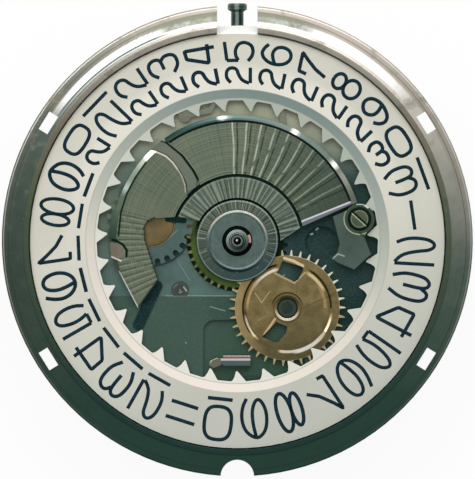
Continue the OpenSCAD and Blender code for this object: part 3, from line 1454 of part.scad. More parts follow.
// Reversing pinion: its one-way clutch takes one sense of the reversing wheel on to the reduction wheel
module reversing_pinion() {
  color("#8f9794") {
    post(reversing_pos, reversing_arbor_r, rotor_gear_z, auto_wheel_z);
    slab(auto_wheel_z - 0.01, auto_wheel_z + auto_wheel_t + 0.02) translate(reversing_pos)
      pinion(reversing_pinion_r, reversing_pinion_teeth, reversing_pinion_phase);
  }
}

// Reduction wheel, with the pinion that drives the ratchet wheel
module reduction_wheel() {
  color("#a9965f") {
    slab(auto_wheel_z, auto_wheel_z + auto_wheel_t) translate(reduction_pos) difference() {
      gear(reduction_r, reduction_teeth, reduction_phase);
      for (i = [0 : 3]) rotate(45 + 90 * i) translate([1.33, 0]) circle(r = 0.36);
    }
    slab(auto_wheel_z, crown_ceiling_z - 0.06) translate(reduction_pos)
      pinion(reduction_pinion_r, reduction_pinion_teeth, reduction_pinion_phase);
    post(reduction_pos, reduction_arbor_r, auto_bridge_z + 0.03, auto_wheel_z + 0.01);
    post(reduction_pos, pivot_r, auto_wheel_z, bridge_top_z - 0.02);
  }
}

rotor_ledge_r = rotor_r - rotor_rim_w + 0.4;
rotor_windows = [[194, 224], [232, 264], [276, 308], [316, 346]];

// Rotor plate: the thin half disc between the bearing and the heavy rim
module rotor_plate() {
  color("#9aa19a") slab(rotor_plate_z, rotor_plate_z + rotor_plate_t) difference() {
    union() {
      circle(r = race_r + 0.8);
      intersection() {
        circle(r = rotor_ledge_r);
        slice(rotor_r * 1.2, 180, 360);
      }
    }
    circle(r = race_r);
    for (w = rotor_windows) intersection() {
      ring(rotor_ledge_r - 1.3, race_r + 2.2);
      slice(rotor_r, w[0], w[1]);
    }
  }
}

// Rotor weight: the heavy rim, with a ledge that the rotor plate lies on
module rotor_weight() {
  color("#8e9188") difference() {
    slab(0, rotor_rim_t) intersection() {
      ring(rotor_r, rotor_r - rotor_rim_w);
      slice(rotor_r * 1.2, 180, 360);
    }
    post(axis, rotor_ledge_r, rotor_plate_z, rotor_rim_t + over);
    rotate_extrude() translate([rotor_r - 0.55, -0.1]) square([0.12, 0.16]);
  }
}

// Rotor gear: the outer race of the bearing, and the teeth that drive the reversing wheel
module rotor_gear() {
  color("#9c9f98") difference() {
    union() {
      post(axis, race_r, rotor_plate_z - 0.2, rotor_gear_z + rotor_gear_t);
      slab(rotor_gear_z, rotor_gear_z + rotor_gear_t) gear(rotor_gear_r, rotor_gear_teeth, 0);
    }
    post(axis, track_r + race_gap, 0, auto_bridge_z);
    rotate_extrude() translate([track_r, ball_z]) circle(r = ball_r + 0.02);
  }
}

// Inner race of the bearing, clamped on the automatic bridge
module bearing_race() {
  color("#a3a7a0") rotate_extrude() difference() {
    translate([race_inner_r, 0.26]) square([track_r - race_gap - race_inner_r, auto_bridge_z - 0.26]);
    translate([track_r, ball_z]) circle(r = ball_r + 0.02);
  }
}

module bearing_balls() {
  color("#d5d8d6") for (i = [0 : ball_count - 1])
    translate([track_r * cos(360 * i / ball_count), track_r * sin(360 * i / ball_count), ball_z]) sphere(r = ball_r);
}

// Rotor screw: it clamps the bearing on the automatic bridge
module rotor_screw() {
  color("#6d7b80") screw(axis, track_r - race_gap - 0.06, 0.22, rotor_screw_r, auto_bridge_top_z - 0.24, 0.04, 1, 25);
}

main_plate();
dial_ring();
date_disc();
calendar_plate();
minute_work_cover();
centre_cover();
hub_washer();
hour_wheel();
cannon_pinion();
minute_wheel();
setting_wheel();
intermediate_wheel();
intermediate_core();
date_driving_wheel();
date_finger();
date_wheel_screw();
date_jumper();
disc_keeper();
keeper_screw();
stem();
winding_pinion();
sliding_pinion();
setting_lever();
yoke();
setting_lever_spring();
crown_wheel();
ratchet_wheel();
ratchet_screw();
click();
click_spring();
barrel_drum();
barrel_lid();
barrel_arbor();
mainspring();
centre_wheel();
centre_bridge();
third_wheel();
fourth_wheel();
escape_wheel();
pallet_fork();
pallet_bridge();
balance_wheel();
hairspring();
balance_cock();
regulator();
barrel_bridge();
train_bridge();
jewels();
bridge_screws();
automatic_bridge();
reversing_wheel();
reversing_pinion();
reduction_wheel();
rotor_plate();
rotor_weight();
rotor_gear();
bearing_race();
bearing_balls();
rotor_screw();
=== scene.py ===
# %% [markdown]
# # A self-winding watch movement, dial side up
# The imported CAD model is the frame of this scene: each wheel, plate and screw is already in its place, in
# metres. Here the pieces get their real finishes, and the print on the date disc is added, because a print
# has no solid of its own.

# %% Load the frame
import math
import random

import bpy
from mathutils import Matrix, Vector


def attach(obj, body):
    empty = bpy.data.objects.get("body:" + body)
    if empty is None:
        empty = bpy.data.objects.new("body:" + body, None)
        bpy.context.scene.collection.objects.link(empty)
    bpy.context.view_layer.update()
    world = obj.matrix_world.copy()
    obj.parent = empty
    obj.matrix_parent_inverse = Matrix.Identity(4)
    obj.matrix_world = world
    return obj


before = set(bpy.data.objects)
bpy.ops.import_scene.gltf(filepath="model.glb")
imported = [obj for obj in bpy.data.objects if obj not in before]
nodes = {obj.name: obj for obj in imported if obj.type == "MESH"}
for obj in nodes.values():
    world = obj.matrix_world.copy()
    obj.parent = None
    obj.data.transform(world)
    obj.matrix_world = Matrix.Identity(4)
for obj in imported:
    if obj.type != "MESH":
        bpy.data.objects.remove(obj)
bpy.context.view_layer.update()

MM = 0.001
bpy.ops.object.select_all(action="DESELECT")
print(len(nodes), "pieces come from the CAD model")

# %% [markdown]
# ## Camera
# The movement lies flat and is seen straight from above. A long lens far away keeps the tall pieces upright
# in the picture, as they are on a scan. The frame is 475 by 479 pixels, and 18.12 pixels are one millimetre
# at the height of the date disc, so the lens and the distance follow from that. The axis of the hands isn't
# quite in the middle.

# %% Camera
PIXELS_PER_MM = 18.12
PICTURE = (475, 479)
HAND_AXIS = (237.3, 240.9)
DISC_HEIGHT = 5.42 * MM
lens_mm = 800.0
sensor_mm = 36.0
distance = PICTURE[0] / PIXELS_PER_MM * MM * lens_mm / sensor_mm
camera_x = (PICTURE[0] / 2 - HAND_AXIS[0]) / PIXELS_PER_MM * MM
camera_y = (HAND_AXIS[1] - PICTURE[1] / 2) / PIXELS_PER_MM * MM

camera_data = bpy.data.cameras.new("camera")
camera_data.lens = lens_mm
camera_data.sensor_width = sensor_mm
camera_data.sensor_fit = "HORIZONTAL"
camera_data.clip_start = 0.01
camera_data.clip_end = 10.0
camera = bpy.data.objects.new("camera", camera_data)
bpy.context.scene.collection.objects.link(camera)
camera.location = (camera_x, camera_y, DISC_HEIGHT + distance)
bpy.context.scene.camera = camera
bpy.context.scene.view_settings.view_transform = "Standard"
print("camera", round(distance / MM), "mm above the date disc")

# %% [markdown]
# ## Colours and shader nodes
# Colours are written as they are read off a screen, in hex, and a shader needs them linear, so one function
# turns them. A second one adds a shader node with its settings and its links in one go, which keeps a long
# node tree readable. A kind is Blender's name without ShaderNode, and a node among the values is linked by
# its first output.

# %% Colour and node helpers
def linear(hex_colour):
    """Turns an sRGB hex colour into linear red, green, blue and alpha."""
    text = hex_colour.lstrip("#")
    out = []
    for i in (0, 2, 4):
        v = int(text[i:i + 2], 16) / 255
        out.append(v / 12.92 if v <= 0.04045 else ((v + 0.055) / 1.055) ** 2.4)
    return (*out, 1.0)


def add(owner, kind, values=None):
    """Adds a shader node. A value sets an attribute or a socket; a node or an output is linked."""
    node = owner.node_tree.nodes.new("ShaderNode" + kind)
    for name, value in (values or {}).items():
        if isinstance(value, bpy.types.Node):
            value = value.outputs[0]
        if isinstance(value, bpy.types.NodeSocket):
            owner.node_tree.links.new(value, node.inputs[name])
        elif isinstance(name, int) or name in node.inputs:
            node.inputs[name].default_value = value
        else:
            setattr(node, name, value)
    return node


print("white is", linear("#ffffff"))

# %% [markdown]
# ## Light
# A dark-polished plate shows whatever stands above it. A studio lights such a piece with one large soft box
# behind it and dim walls elsewhere: each slope that leans to the box turns white, and flat steel stays
# dark. The world is a calm grey that is lighter towards +Y, and one area lamp stands on that side.

# %% World and lamp
world = bpy.data.worlds.new("studio")
world.use_nodes = True
bpy.context.scene.world = world
world.node_tree.nodes.clear()
where = add(world, "TexCoord")
split = add(world, "SeparateXYZ", {0: where.outputs["Generated"]})
rise = add(world, "MapRange", {"From Min": -0.7, "From Max": 0.7, "To Min": 0.32, "To Max": 0.86,
                               "Value": split.outputs["Y"]})
walls = add(world, "Background", {"Color": linear("#f4f7f4"), "Strength": rise})
white = add(world, "Background", {"Color": (1, 1, 1, 1), "Strength": 1.0})
path = add(world, "LightPath")
seen = add(world, "MixShader", {0: path.outputs["Is Camera Ray"], 1: walls, 2: white})
add(world, "OutputWorld", {0: seen})

lamp_data = bpy.data.lights.new("soft box", "AREA")
lamp_data.shape = "RECTANGLE"
lamp_data.size = 0.30
lamp_data.size_y = 0.14
lamp_data.energy = 0.33
lamp = bpy.data.objects.new("soft box", lamp_data)
bpy.context.scene.collection.objects.link(lamp)
lamp.location = (-0.02, 0.12, 0.16)
lamp.rotation_euler = (Vector((0, 0, 0)) - lamp.location).to_track_quat("-Z", "Y").to_euler()
print("one soft box in a grey world")

# %% [markdown]
# The table is white to the camera and in the metal, and it keeps a faint shadow. From below it is clear, so
# that the back of the movement can be looked at too.

# %% Table
bpy.ops.mesh.primitive_plane_add(size=3.0, location=(0, 0, -0.00001))
table = bpy.context.object
table.name = "table"
paper = bpy.data.materials.new("white table")
paper.use_nodes = True
paper.node_tree.nodes.clear()
matt = add(paper, "BsdfDiffuse", {"Color": linear("#f6f6f4")})
glow = add(paper, "Emission", {"Color": (1, 1, 1, 1), "Strength": 1.0})
path = add(paper, "LightPath")
either = add(paper, "Math", {"operation": "MAXIMUM", 0: path.outputs["Is Camera Ray"],
                             1: path.outputs["Is Transmission Ray"]})
any_view = add(paper, "Math", {"operation": "MAXIMUM", 0: either, 1: path.outputs["Is Glossy Ray"]})
share = add(paper, "Math", {"operation": "MULTIPLY", 0: any_view, 1: 0.93})
mixed = add(paper, "MixShader", {0: share, 1: matt, 2: glow})
clear = add(paper, "BsdfTransparent")
side = add(paper, "NewGeometry")
one_sided = add(paper, "MixShader", {0: side.outputs["Backfacing"], 1: mixed, 2: clear})
add(paper, "OutputMaterial", {0: one_sided})
table.data.materials.append(paper)
print("a white table, clear from below")

# %% [markdown]
# ## A metal to start from
# Nearly everything here is metal, and the metals differ in colour, in how smooth they are and in their
# grain. This helper makes the part that they share: a Principled shader, a colour that drifts a little
# between two tones over a millimetre or so, as thin plating does, and a fine grain in the bump. The edges
# of small watch parts are broken by polishing, so a Bevel node rounds them over 0.02 mm in the light. Three
# nodes get a name, so that the finishes can find them: the place of a point in millimetres, the bump and
# the shader.

# %% The shared metal
GRAIN_MM = 0.06


def metal(name, tone_a, tone_b, roughness, drift_mm=1.5, grain=0.15, metallic=1.0, edge_mm=0.02, extra=None):
    """A metal whose colour drifts between two tones. extra: more values for the sockets of its shader."""
    made = bpy.data.materials.new(name)
    made.use_nodes = True
    made.node_tree.nodes.clear()
    texture = add(made, "TexCoord")
    in_mm = add(made, "VectorMath", {"operation": "SCALE", "name": "place", "Scale": 1 / MM,
                                     0: texture.outputs["Object"]})
    drift = add(made, "TexNoise", {"Scale": 1 / drift_mm, "Detail": 4.0, "Roughness": 0.6, "Vector": in_mm})
    tones = add(made, "ValToRGB", {0: drift})
    for stop, position, tone in zip(tones.color_ramp.elements, (0.35, 0.65), (tone_a, tone_b)):
        stop.position = position
        stop.color = linear(tone)
    fine = add(made, "TexNoise", {"Scale": 1 / GRAIN_MM, "Detail": 2.0, "Vector": in_mm})
    rounded = add(made, "Bevel", {"samples": 4, "Radius": edge_mm * MM})
    bump = add(made, "Bump", {"name": "bump", "Strength": grain, "Distance": 0.004 * MM,
                              "Height": fine, "Normal": rounded})
    rough = add(made, "MapRange", {"To Min": roughness * 0.8, "To Max": roughness * 1.25, "Value": drift})
    shader = add(made, "BsdfPrincipled", {"name": "shader", "Metallic": metallic, **(extra or {}),
                                          "Base Color": tones, "Roughness": rough, "Normal": bump})
    add(made, "OutputMaterial", {0: shader})
    return made


def wear(made, *names):
    """Gives a material to CAD nodes."""
    for name in names:
        mesh = nodes[name].data
        mesh.materials.clear()
        mesh.materials.append(made)


print("the shared metal is ready")

# %% [markdown]
# ## Layers of colour
# A real finish is built up in layers: stains and scratches lie over the metal, each in its own place, and
# painted highlights, reflections and shade lie over them as layers too. So a tint lays a colour over what is
# there, only where all its masks are 1. A mask is an output between 0 and 1, and a plain number among them
# weakens the layer. A shade does the same with colours that change along a value.

# %% Tint and shade
def product(made, *values):
    """Multiplies masks, shares and other values."""
    result = values[0]
    for value in values[1:]:
        result = add(made, "Math", {"operation": "MULTIPLY", 0: result, 1: value})
    return result


def tint(made, colour, *masks):
    """Lays a colour, given in hex or as an output, over the base colour where all the masks are 1."""
    base = made.node_tree.nodes["shader"].inputs["Base Color"]
    over = linear(colour) if isinstance(colour, str) else colour
    layer = add(made, "Mix", {"data_type": "RGBA", 0: product(made, *masks),
                              6: base.links[0].from_socket, 7: over})
    made.node_tree.links.new(layer.outputs[2], base)


def shade(made, along, stops, *masks):
    """Lays colours that change along a value. stops: pairs of position and hex colour."""
    ramp = add(made, "ValToRGB", {0: along})
    points = ramp.color_ramp.elements
    for point, (position, colour) in zip(points, (stops[0], stops[-1])):
        point.position = position
        point.color = linear(colour)
    for position, colour in stops[1:-1]:
        points.new(position).color = linear(colour)
    tint(made, ramp, *masks)


print("layers are ready")

# %% [markdown]
# ## Position, angle and radius
# Turned and brushed parts carry patterns that follow the axis of the hands or their own axis. A shader can
# work out the radius and the angle of a point about any centre from its place, and the finishes below are
# drawn with these two numbers: rings from the radius, rays from the angle.

# %% Where a point is
# HARD is how soft an edge is that has to look sharp. FAR lies beyond each piece that it is used on, in mm.
HARD = 0.001
FAR = 9


def place(made):
    """Each point's place in millimetres."""
    return made.node_tree.nodes["place"]


def axis(made, letter):
    """A point's X, Y or Z in millimetres."""
    return add(made, "SeparateXYZ", {0: place(made)}).outputs[letter]


def turned(made, degrees):
    """X and Y in millimetres after a turn about the hand axis."""
    spun = add(made, "VectorRotate", {"rotation_type": "Z_AXIS", "Angle": math.radians(degrees),
                                      "Vector": place(made)})
    split = add(made, "SeparateXYZ", {0: spun})
    return split.outputs["X"], split.outputs["Y"]


def polar(made, centre=(0.0, 0.0)):
    """Radius in millimetres and angle in turns (-0.5 to 0.5) about a centre given in millimetres."""
    moved = add(made, "VectorMath", {"operation": "SUBTRACT", 0: place(made), 1: (*centre, 0)})
    flat = add(made, "VectorMath", {"operation": "MULTIPLY", 0: moved, 1: (1, 1, 0)})
    radius = add(made, "VectorMath", {"operation": "LENGTH", 0: flat})
    split = add(made, "SeparateXYZ", {0: flat})
    turn = add(made, "Math", {"operation": "ARCTAN2", 0: split.outputs["Y"], 1: split.outputs["X"]})
    angle = add(made, "Math", {"operation": "DIVIDE", 0: turn, 1: 2 * math.pi})
    return radius.outputs["Value"], angle


def lean(made, degrees, low_mm, high_mm):
    """Runs from 0 to 1 across the part in one direction, between two distances from the middle."""
    way = (math.cos(math.radians(degrees)), math.sin(math.radians(degrees)), 0)
    along = add(made, "VectorMath", {"operation": "DOT_PRODUCT", 0: place(made), 1: way})
    return add(made, "MapRange", {"From Min": low_mm, "From Max": high_mm, "Value": along.outputs["Value"]})


print("places, angles and radii are ready")

# %% [markdown]
# ## Masks
# The marks on these parts are of a few kinds: rings and fields with an edge, arcs of painted shine, shade
# and stain, straight scratches, lines of painted light and shade along edges, the streaks of a brush or a
# turning tool, stains, and specks of dust. Each kind has a mask. Real brush lines are a few thousandths of a
# millimetre wide, too fine for the picture, so they are drawn as coarse as they need to be to show.

# %% Bands, arcs and strokes
def band(made, value, low, high, soft=0.05):
    """A mask that is 1 between two values and fades out over soft beyond them."""
    up = add(made, "MapRange", {"From Min": low - soft, "From Max": low, "Value": value})
    down = add(made, "MapRange", {"From Min": high + soft, "From Max": high, "Value": value})
    return product(made, up, down)


def arc(made, radius, angle, at_mm, half_mm, first, last, soft_mm=0.03, fade=8.0):
    """A mask along a circle between two angles in degrees, 0 to 360, that fades out at both ends."""
    turn = add(made, "Math", {"operation": "FRACT", 0: angle})
    line = band(made, radius, at_mm - half_mm, at_mm + half_mm, soft_mm)
    return product(made, line, band(made, turn, first / 360, last / 360, fade / 360))


def stroke(made, start, end, half_mm, soft_mm=0.03):
    """A mask along a line between two points in mm: a scratch, or painted light or shade on a bevel or edge.
    """
    run = Vector((end[0] - start[0], end[1] - start[1], 0))
    flat = add(made, "VectorMath", {"operation": "MULTIPLY", 0: place(made), 1: (1, 1, 0)})
    offset = add(made, "VectorMath", {"operation": "SUBTRACT", 0: flat, 1: (*start, 0)})
    along = add(made, "VectorMath", {"operation": "DOT_PRODUCT", 0: offset, 1: run / run.length_squared})
    held = add(made, "Clamp", {"Value": along.outputs["Value"]})
    foot = add(made, "VectorMath", {"operation": "SCALE", 0: run, "Scale": held})
    gap = add(made, "VectorMath", {"operation": "DISTANCE", 0: offset, 1: foot})
    return add(made, "MapRange", {"From Min": half_mm + soft_mm, "From Max": half_mm,
                                  "Value": gap.outputs["Value"]})


def fold(made, colour, half_mm, points, share=1.0, soft_mm=0.03):
    """A tinted line through several points: a scratch, or painted light or shade along an edge."""
    for start, end in zip(points, points[1:]):
        tint(made, colour, stroke(made, start, end, half_mm, soft_mm), share)


print("bands, arcs and strokes are ready")

# %% Streaks, stains and specks
def streaks(made, value, count, low, high, seed=0.0, detail=3.0):
    """Streaks along a line of values: 1D noise, cut to a mask."""
    spread = add(made, "Math", {"operation": "MULTIPLY_ADD", 0: value, 1: count, 2: seed})
    noise = add(made, "TexNoise", {"noise_dimensions": "1D", "Scale": 1.0, "Detail": detail, "W": spread})
    return add(made, "MapRange", {"From Min": low, "From Max": high, "Value": noise})


def stains(made, size_mm, low, high, detail=2.0, roughness=0.5):
    """Stains of about the given size: noise, cut to a mask."""
    noise = add(made, "TexNoise", {"Scale": 1 / size_mm, "Detail": detail, "Roughness": roughness,
                                   "Vector": place(made)})
    return add(made, "MapRange", {"From Min": low, "From Max": high, "Value": noise})


def specks(made, size_mm, amount, shift_mm=(0, 0, 0)):
    """Tiny round specks of dust and pits, at most one in each cell of the given size."""
    moved = add(made, "VectorMath", {"operation": "ADD", 0: place(made), 1: shift_mm})
    cells = add(made, "TexVoronoi", {"Scale": 1 / size_mm, "Vector": moved})
    near = add(made, "Math", {"operation": "LESS_THAN", 0: cells, 1: amount})
    pick = add(made, "SeparateColor", {0: cells.outputs["Color"]})
    few = add(made, "Math", {"operation": "GREATER_THAN", 0: pick, 1: 0.8})
    return product(made, near, few)


print("streaks, stains and specks are ready")

# %% [markdown]
# Little light reaches what lies deep under the plates. Five pieces lie below the slit round the half ring
# and below its left end, and they share the shade there.

# %% Shade under the plates
def under_plates(made):
    """Shade on what lies below the slit round the half ring and below its left end."""
    radius, angle = polar(made)
    tint(made, "#14231f", arc(made, radius, angle, 3.64, 0.11, 104, 163, 0.02, 3))
    tint(made, "#17302f", stroke(made, (-3.85, 1.19), (-2.95, 1.12), 0.13, 0.05))
    tint(made, "#1c2a25", arc(made, radius, angle, 2.7, 0.08, 178, 278, 0.05, 8))


print("shade under the plates is ready")

# %% [markdown]
# ## The main plate
# The base of a movement is a brass plate, nickel-plated and then sandblasted or ground matt. It looks
# grey-green between the wheels: painted lighter and warmer towards the top as light, deep green at the
# bottom, where the step of the raised field is. A few bright specks and hair scratches lie on it. Its
# shoulder in the gap for the stem carries a painted highlight so bright that it goes into the white of the
# table. Painted shade lies at the right under the end of the calendar plate, by the tip of the left plate
# and round the intermediate wheel, and a painted highlight runs along the wall of the step.

# %% Main plate
plate = metal("nickel_plated_plate", "#566e6a", "#627a75", 0.42, grain=0.3)
low = lean(plate, -90, 3.02, 3.06)
tint(plate, "#4a6056", low)
tint(plate, "#375049", low, lean(plate, 0, -2.0, 0.5))
# Painted light towards the top, and painted shade at the right under the end of the calendar plate
tint(plate, "#abad97", lean(plate, 90, 3.5, 6.4))
tint(plate, "#223a38", lean(plate, 0, 1.5, 3.2), lean(plate, 90, 5, 2.8), 0.9)
tint(plate, "#74806f", lean(plate, 180, 5.6, 6.6), lean(plate, 90, -2.5, 0.5), 0.7)
# A painted shadow by the left plate's tip, a painted highlight on the step's wall, two hair scratches
for colour, start, end, half_mm, soft_mm in (
        ("#1b3436", (-4.45, -2.5), (-5.45, -4.65), 0.27, 0.12),
        ("#7f9690", (-3.95, -3.03), (2.0, -3.03), 0.012, 0.03),
        ("#93a69c", (-1.5, -3.63), (-0.68, -3.86), 0.012, 0.02),
        ("#7d918f", (-3.3, -1.1), (-2.6, -2.2), 0.01, 0.02)):
    tint(plate, colour, stroke(plate, start, end, half_mm, soft_mm))
# Painted shade round the intermediate wheel, in its recess
from_wheel = polar(plate, (-4.82, 1.04))[0]
tint(plate, "#3a5050", band(plate, from_wheel, 1.9, 2.46), lean(plate, 0, -6.6, -6.3))
tint(plate, "#47604f", stroke(plate, (0.3, -5.9), (3.0, -5.9), 1.5, 0.1), low, 0.6)
tint(plate, "#7f9289", stains(plate, 0.08, 0.5, 0.7), 0.15)
tint(plate, "#a9b8ac", specks(plate, 0.9, 0.05))
tint(plate, "#1c2a28", specks(plate, 0.35, 0.06, (3, 1, 0)))
under_plates(plate)
height = axis(plate, "Z")
# A painted highlight on the shoulder in the gap for the stem
tint(plate, "#f6f6f4", lean(plate, 90, 11.3, 11.36), band(plate, axis(plate, "X"), -1.12, 1.12, 0.01),
     band(plate, height, 4.5, 5, 0.01))
# Two painted glints at the right
for start, end in (((4.36, 0.62), (4.46, 0.7)), ((4.06, 0.36), (4.16, 0.4))):
    tint(plate, "#b7c8c4", stroke(plate, start, end, 0.03))
print("main plate: matt nickel")

# %% [markdown]
# The plate's underside gets perlage, the overlapping ground circles that makers put where nobody looks.
# They are rings in the bump about points 0.9 mm apart, only below the height of 4 mm.

# %% Perlage
spots = add(plate, "TexVoronoi", {"Scale": 1 / 0.9, "Randomness": 0.25, "Vector": place(plate)})
rings = add(plate, "Math", {"operation": "SINE", 0: product(plate, spots, 60.0)})
perlage = add(plate, "Bump", {"Strength": 0.5, "Distance": 0.01 * MM,
                              "Height": product(plate, rings, band(plate, height, 0, 4.0, HARD)),
                              "Normal": plate.node_tree.nodes["bump"]})
plate.node_tree.links.new(perlage.outputs[0], plate.node_tree.nodes["shader"].inputs["Normal"])
wear(plate, "main_plate")
print("main plate: perlage under it")

# %% [markdown]
# ## The dial ring
# The flange is the same plated brass, turned bright. Its face leans outwards by ten degrees, so its top
# mirrors the soft box; its colour is painted nearly white at the top as light, with a beige outer edge, white
# arcs of painted highlight and a bright painted line on the outer edge, and dark green at the bottom and
# darker at the left as painted shade. Turning leaves rings about 0.03 mm apart, and handling leaves blotches.
# The upright rim is painted from dark teal at the bottom through olive to a light brownish tone at the top,
# as shade and light. Beside the gap for the stem the face is stained and dull.

# %% Dial ring
ring = metal("turned_nickel_ring", "#59695f", "#6c766b", 0.32, drift_mm=0.9, grain=0.3)
radius, angle = polar(ring)
tint(ring, "#a0a294", streaks(ring, radius, 30, 0.35, 0.7), 0.25)
# Painted light at the top with a beige outer edge, painted shade at the bottom and the left
tint(ring, "#c9c1b8", lean(ring, 75, 2, 11))
tint(ring, "#31554a", lean(ring, -90, -1, 9), 0.9)
tint(ring, "#9c9187", band(ring, radius, 12.5, 13.1), lean(ring, 90, 0, 7), 0.8)
tint(ring, "#38473f", lean(ring, 165, 5, 12), 0.75)
tint(ring, "#39443d", band(ring, radius, 12.62, 12.66, 0.02), 0.5)
# A painted highlight on the outer edge, and the upright rim painted from shade at the bottom to light at the
# top
tint(ring, "#e4e0d6", band(ring, radius, 12.88, 12.93, 0.02), lean(ring, 90, -12, 6), 0.6)
shade(ring, lean(ring, 90, -9, 9), ((0.0, "#2b4540"), (0.62, "#59654f"), (0.85, "#847b6b"), (1.0, "#a39c92")),
      band(ring, radius, 11.3, 11.8, 0.03), 0.9)
tint(ring, "#7d7568", stains(ring, 1.4, 0.52, 0.66, 6.0, 0.75), lean(ring, 90, 2, 8), 0.75)
tint(ring, "#9da092", stains(ring, 0.5, 0.55, 0.7, 5.0, 0.7), lean(ring, 90, -4, 8), 0.3)
# White arcs of painted highlight
for first, last in ((102, 136), (50, 78)):
    tint(ring, "#ffffff", arc(ring, radius, angle, 12.2, 0.16, first, last, 0.12, 12))
# Where it is cleanest, the stained strip still hides 0.631 of the metal
clean = stains(ring, 0.35, 0.35, 0.7, 8.0, 0.8)
dull = add(ring, "MapRange", {"To Min": 1.0, "To Max": 0.631, "Value": clean})
for first, last in ((90, 108), (73, 90)):
    tint(ring, "#6f7263", arc(ring, radius, angle, 12.42, 0.24, first, last, 0.1), dull)
drifting = add(ring, "Math", {"operation": "MULTIPLY_ADD", 0: angle, 1: 55.0, 2: radius})
pitted = streaks(ring, drifting, 5, 0.45, 0.6, 2.0)
tint(ring, "#77766a", arc(ring, radius, angle, 12.5, 0.05, 96, 118, 0.1, 6), pitted, 0.7)
tint(ring, "#5d665e", arc(ring, radius, angle, 12.05, 0.03, 112, 143, 0.05))
wear(ring, "dial_ring")
print("dial ring: turned nickel")

# %% [markdown]
# ## The date disc
# A date disc is stamped brass, painted warm white and printed. Paint is no metal: it is matt, and its tone
# drifts a little where it has yellowed. Its face is painted lighter towards the top and greyer towards the
# lower right, as light and shade. The bevel inside the printed face and the toothed ring inside it are
# painted light on one side and dark on the other, and a fine crease on either side of the bevel is drawn as
# a thin line of painted shade.

# %% Date disc
disc = metal("white_disc_paint", "#cbc8bb", "#d2cfc3", 0.55, drift_mm=5.0, grain=0.12, metallic=0.0,
             extra={"Specular IOR Level": 0.3})
radius = polar(disc)[0]
# Painted shade towards the lower right and painted light towards the top
tint(disc, "#b0b4ac", lean(disc, -70, -2, 11), 0.6)
tint(disc, "#ebe6da", band(disc, radius, 8.3, 9.3, 0.6), lean(disc, 95, -3, 8), 0.6)
# The toothed ring and the bevel: painted light on one side, painted shade on the other
shade(disc, lean(disc, 60, -7, 7), ((0.0, "#e6e2d9"), (0.5, "#cbcdc2"), (1.0, "#a9afa4")),
      band(disc, radius, 7.0, 7.86, 0.03))
shade(disc, lean(disc, 72, -8, 8), ((0.0, "#e9ddd3"), (0.35, "#d8d0c5"), (0.55, "#b9bbb0"), (1.0, "#7e8f8b")),
      band(disc, radius, 7.9, 8.36, 0.03))
# The creases beside the bevel, drawn as painted shade
for edge_mm, share in ((8.37, 0.35), (7.875, 0.45)):
    tint(disc, "#8c9389", band(disc, radius, edge_mm - 0.02, edge_mm + 0.02, 0.02), share)
wear(disc, "date_disc")
print("date disc: warm white paint")

# %% [markdown]
# ## The sunray of the calendar plates
# A brush that runs outwards from the hub leaves fine rays on the fan-shaped plate. The light finds a few
# deep ones, which stand as bright lines about seven degrees apart to the right of the top, while the left
# shows the fine rings of the turning before it. The same brush crossed the ring round the hub. The bevel
# outside is polished, and painted reflections, light and dark, change along the curve.

# %% Sunray finish
def sunray(name, tone_a, tone_b, rays, rings, bright="#b4bba8", dark="#26382f", strength=1.0):
    """Brushed rays about the hand axis. rays: first and last degree, how many, half a line in mm."""
    made = metal(name, tone_a, tone_b, 0.34, drift_mm=2.0, grain=0.25)
    radius, angle = polar(made)
    tint(made, "#8d957f", streaks(made, angle, 700, 0.42, 0.68), 0.35)
    tint(made, dark, streaks(made, angle, 330, 0.5, 0.7, 7.0), 0.3)
    tint(made, "#a5a993", streaks(made, radius, 13, 0.5, 0.62, 3.0), rings)
    tint(made, dark, streaks(made, radius, 17, 0.52, 0.64, 8.0), rings)
    first, last, count, half_mm = rays
    pace = (first - last) / count
    wander = add(made, "TexNoise", {"Scale": 0.3, "Detail": 1.0, "Vector": place(made)})
    sway = add(made, "Math", {"operation": "MULTIPLY_ADD", 0: wander, 1: pace * 0.5, 2: -pace * 0.25})
    turn = add(made, "Math", {"operation": "FRACT", 0: angle})
    degrees = add(made, "Math", {"operation": "MULTIPLY_ADD", 0: turn, 1: 360.0, 2: sway})
    drifting = add(made, "Math", {"operation": "MULTIPLY_ADD", 0: angle, 1: 40.0, 2: radius})
    field = band(made, degrees, last - pace / 2, first + pace / 2, 0.3)
    for shift, colour, share in ((0.16, dark, 0.75), (0.5, bright, 1.0)):
        steps = add(made, "Math", {"operation": "MULTIPLY_ADD", 0: degrees, 1: 1 / pace,
                                   2: 0.5 - shift - last / pace})
        off = add(made, "Math", {"operation": "PINGPONG", 0: steps, 1: 0.5})
        line = add(made, "MapRange", {"From Min": half_mm * 2.2, "From Max": half_mm * 0.6,
                                      "Value": product(made, off, math.radians(pace), radius)})
        uneven = streaks(made, drifting, 1.6, 0.28, 0.5, 5.0 + shift)
        tint(made, colour, line, share * strength, field, uneven)
    return made


def polish(made, roughness, mask):
    """Makes the shader smoother or rougher where the mask is 1."""
    rough = made.node_tree.nodes["shader"].inputs["Roughness"]
    mixed = add(made, "Mix", {"data_type": "FLOAT", 0: mask, 2: rough.links[0].from_socket, 3: roughness})
    made.node_tree.links.new(mixed.outputs[0], rough)


print("sunray and polish are ready")

# %% [markdown]
# The fan-shaped calendar plate has all of this: rings at its left, bright rays at its right, a gutter
# painted dark as shade and a polished bevel with painted reflections along its rim, and a smooth bevel at
# its straight end with a painted highlight and a painted shadow line. It is painted darker towards the
# lower right as shade, and a painted shadow and a thin painted highlight run along its left edge. The strip
# that comes out under its left end is plain.

# %% Calendar plate
# What lies below this height is the strip under the left end, or a side of the plate
LOWER_LEAF_MM = 5.37
fan = sunray("sunray_calendar_plate", "#7e8774", "#6a7768", (92.5, 28.2, 9, 0.03), 0.32, "#cdd0bb",
             strength=1.1)
radius, angle = polar(fan)
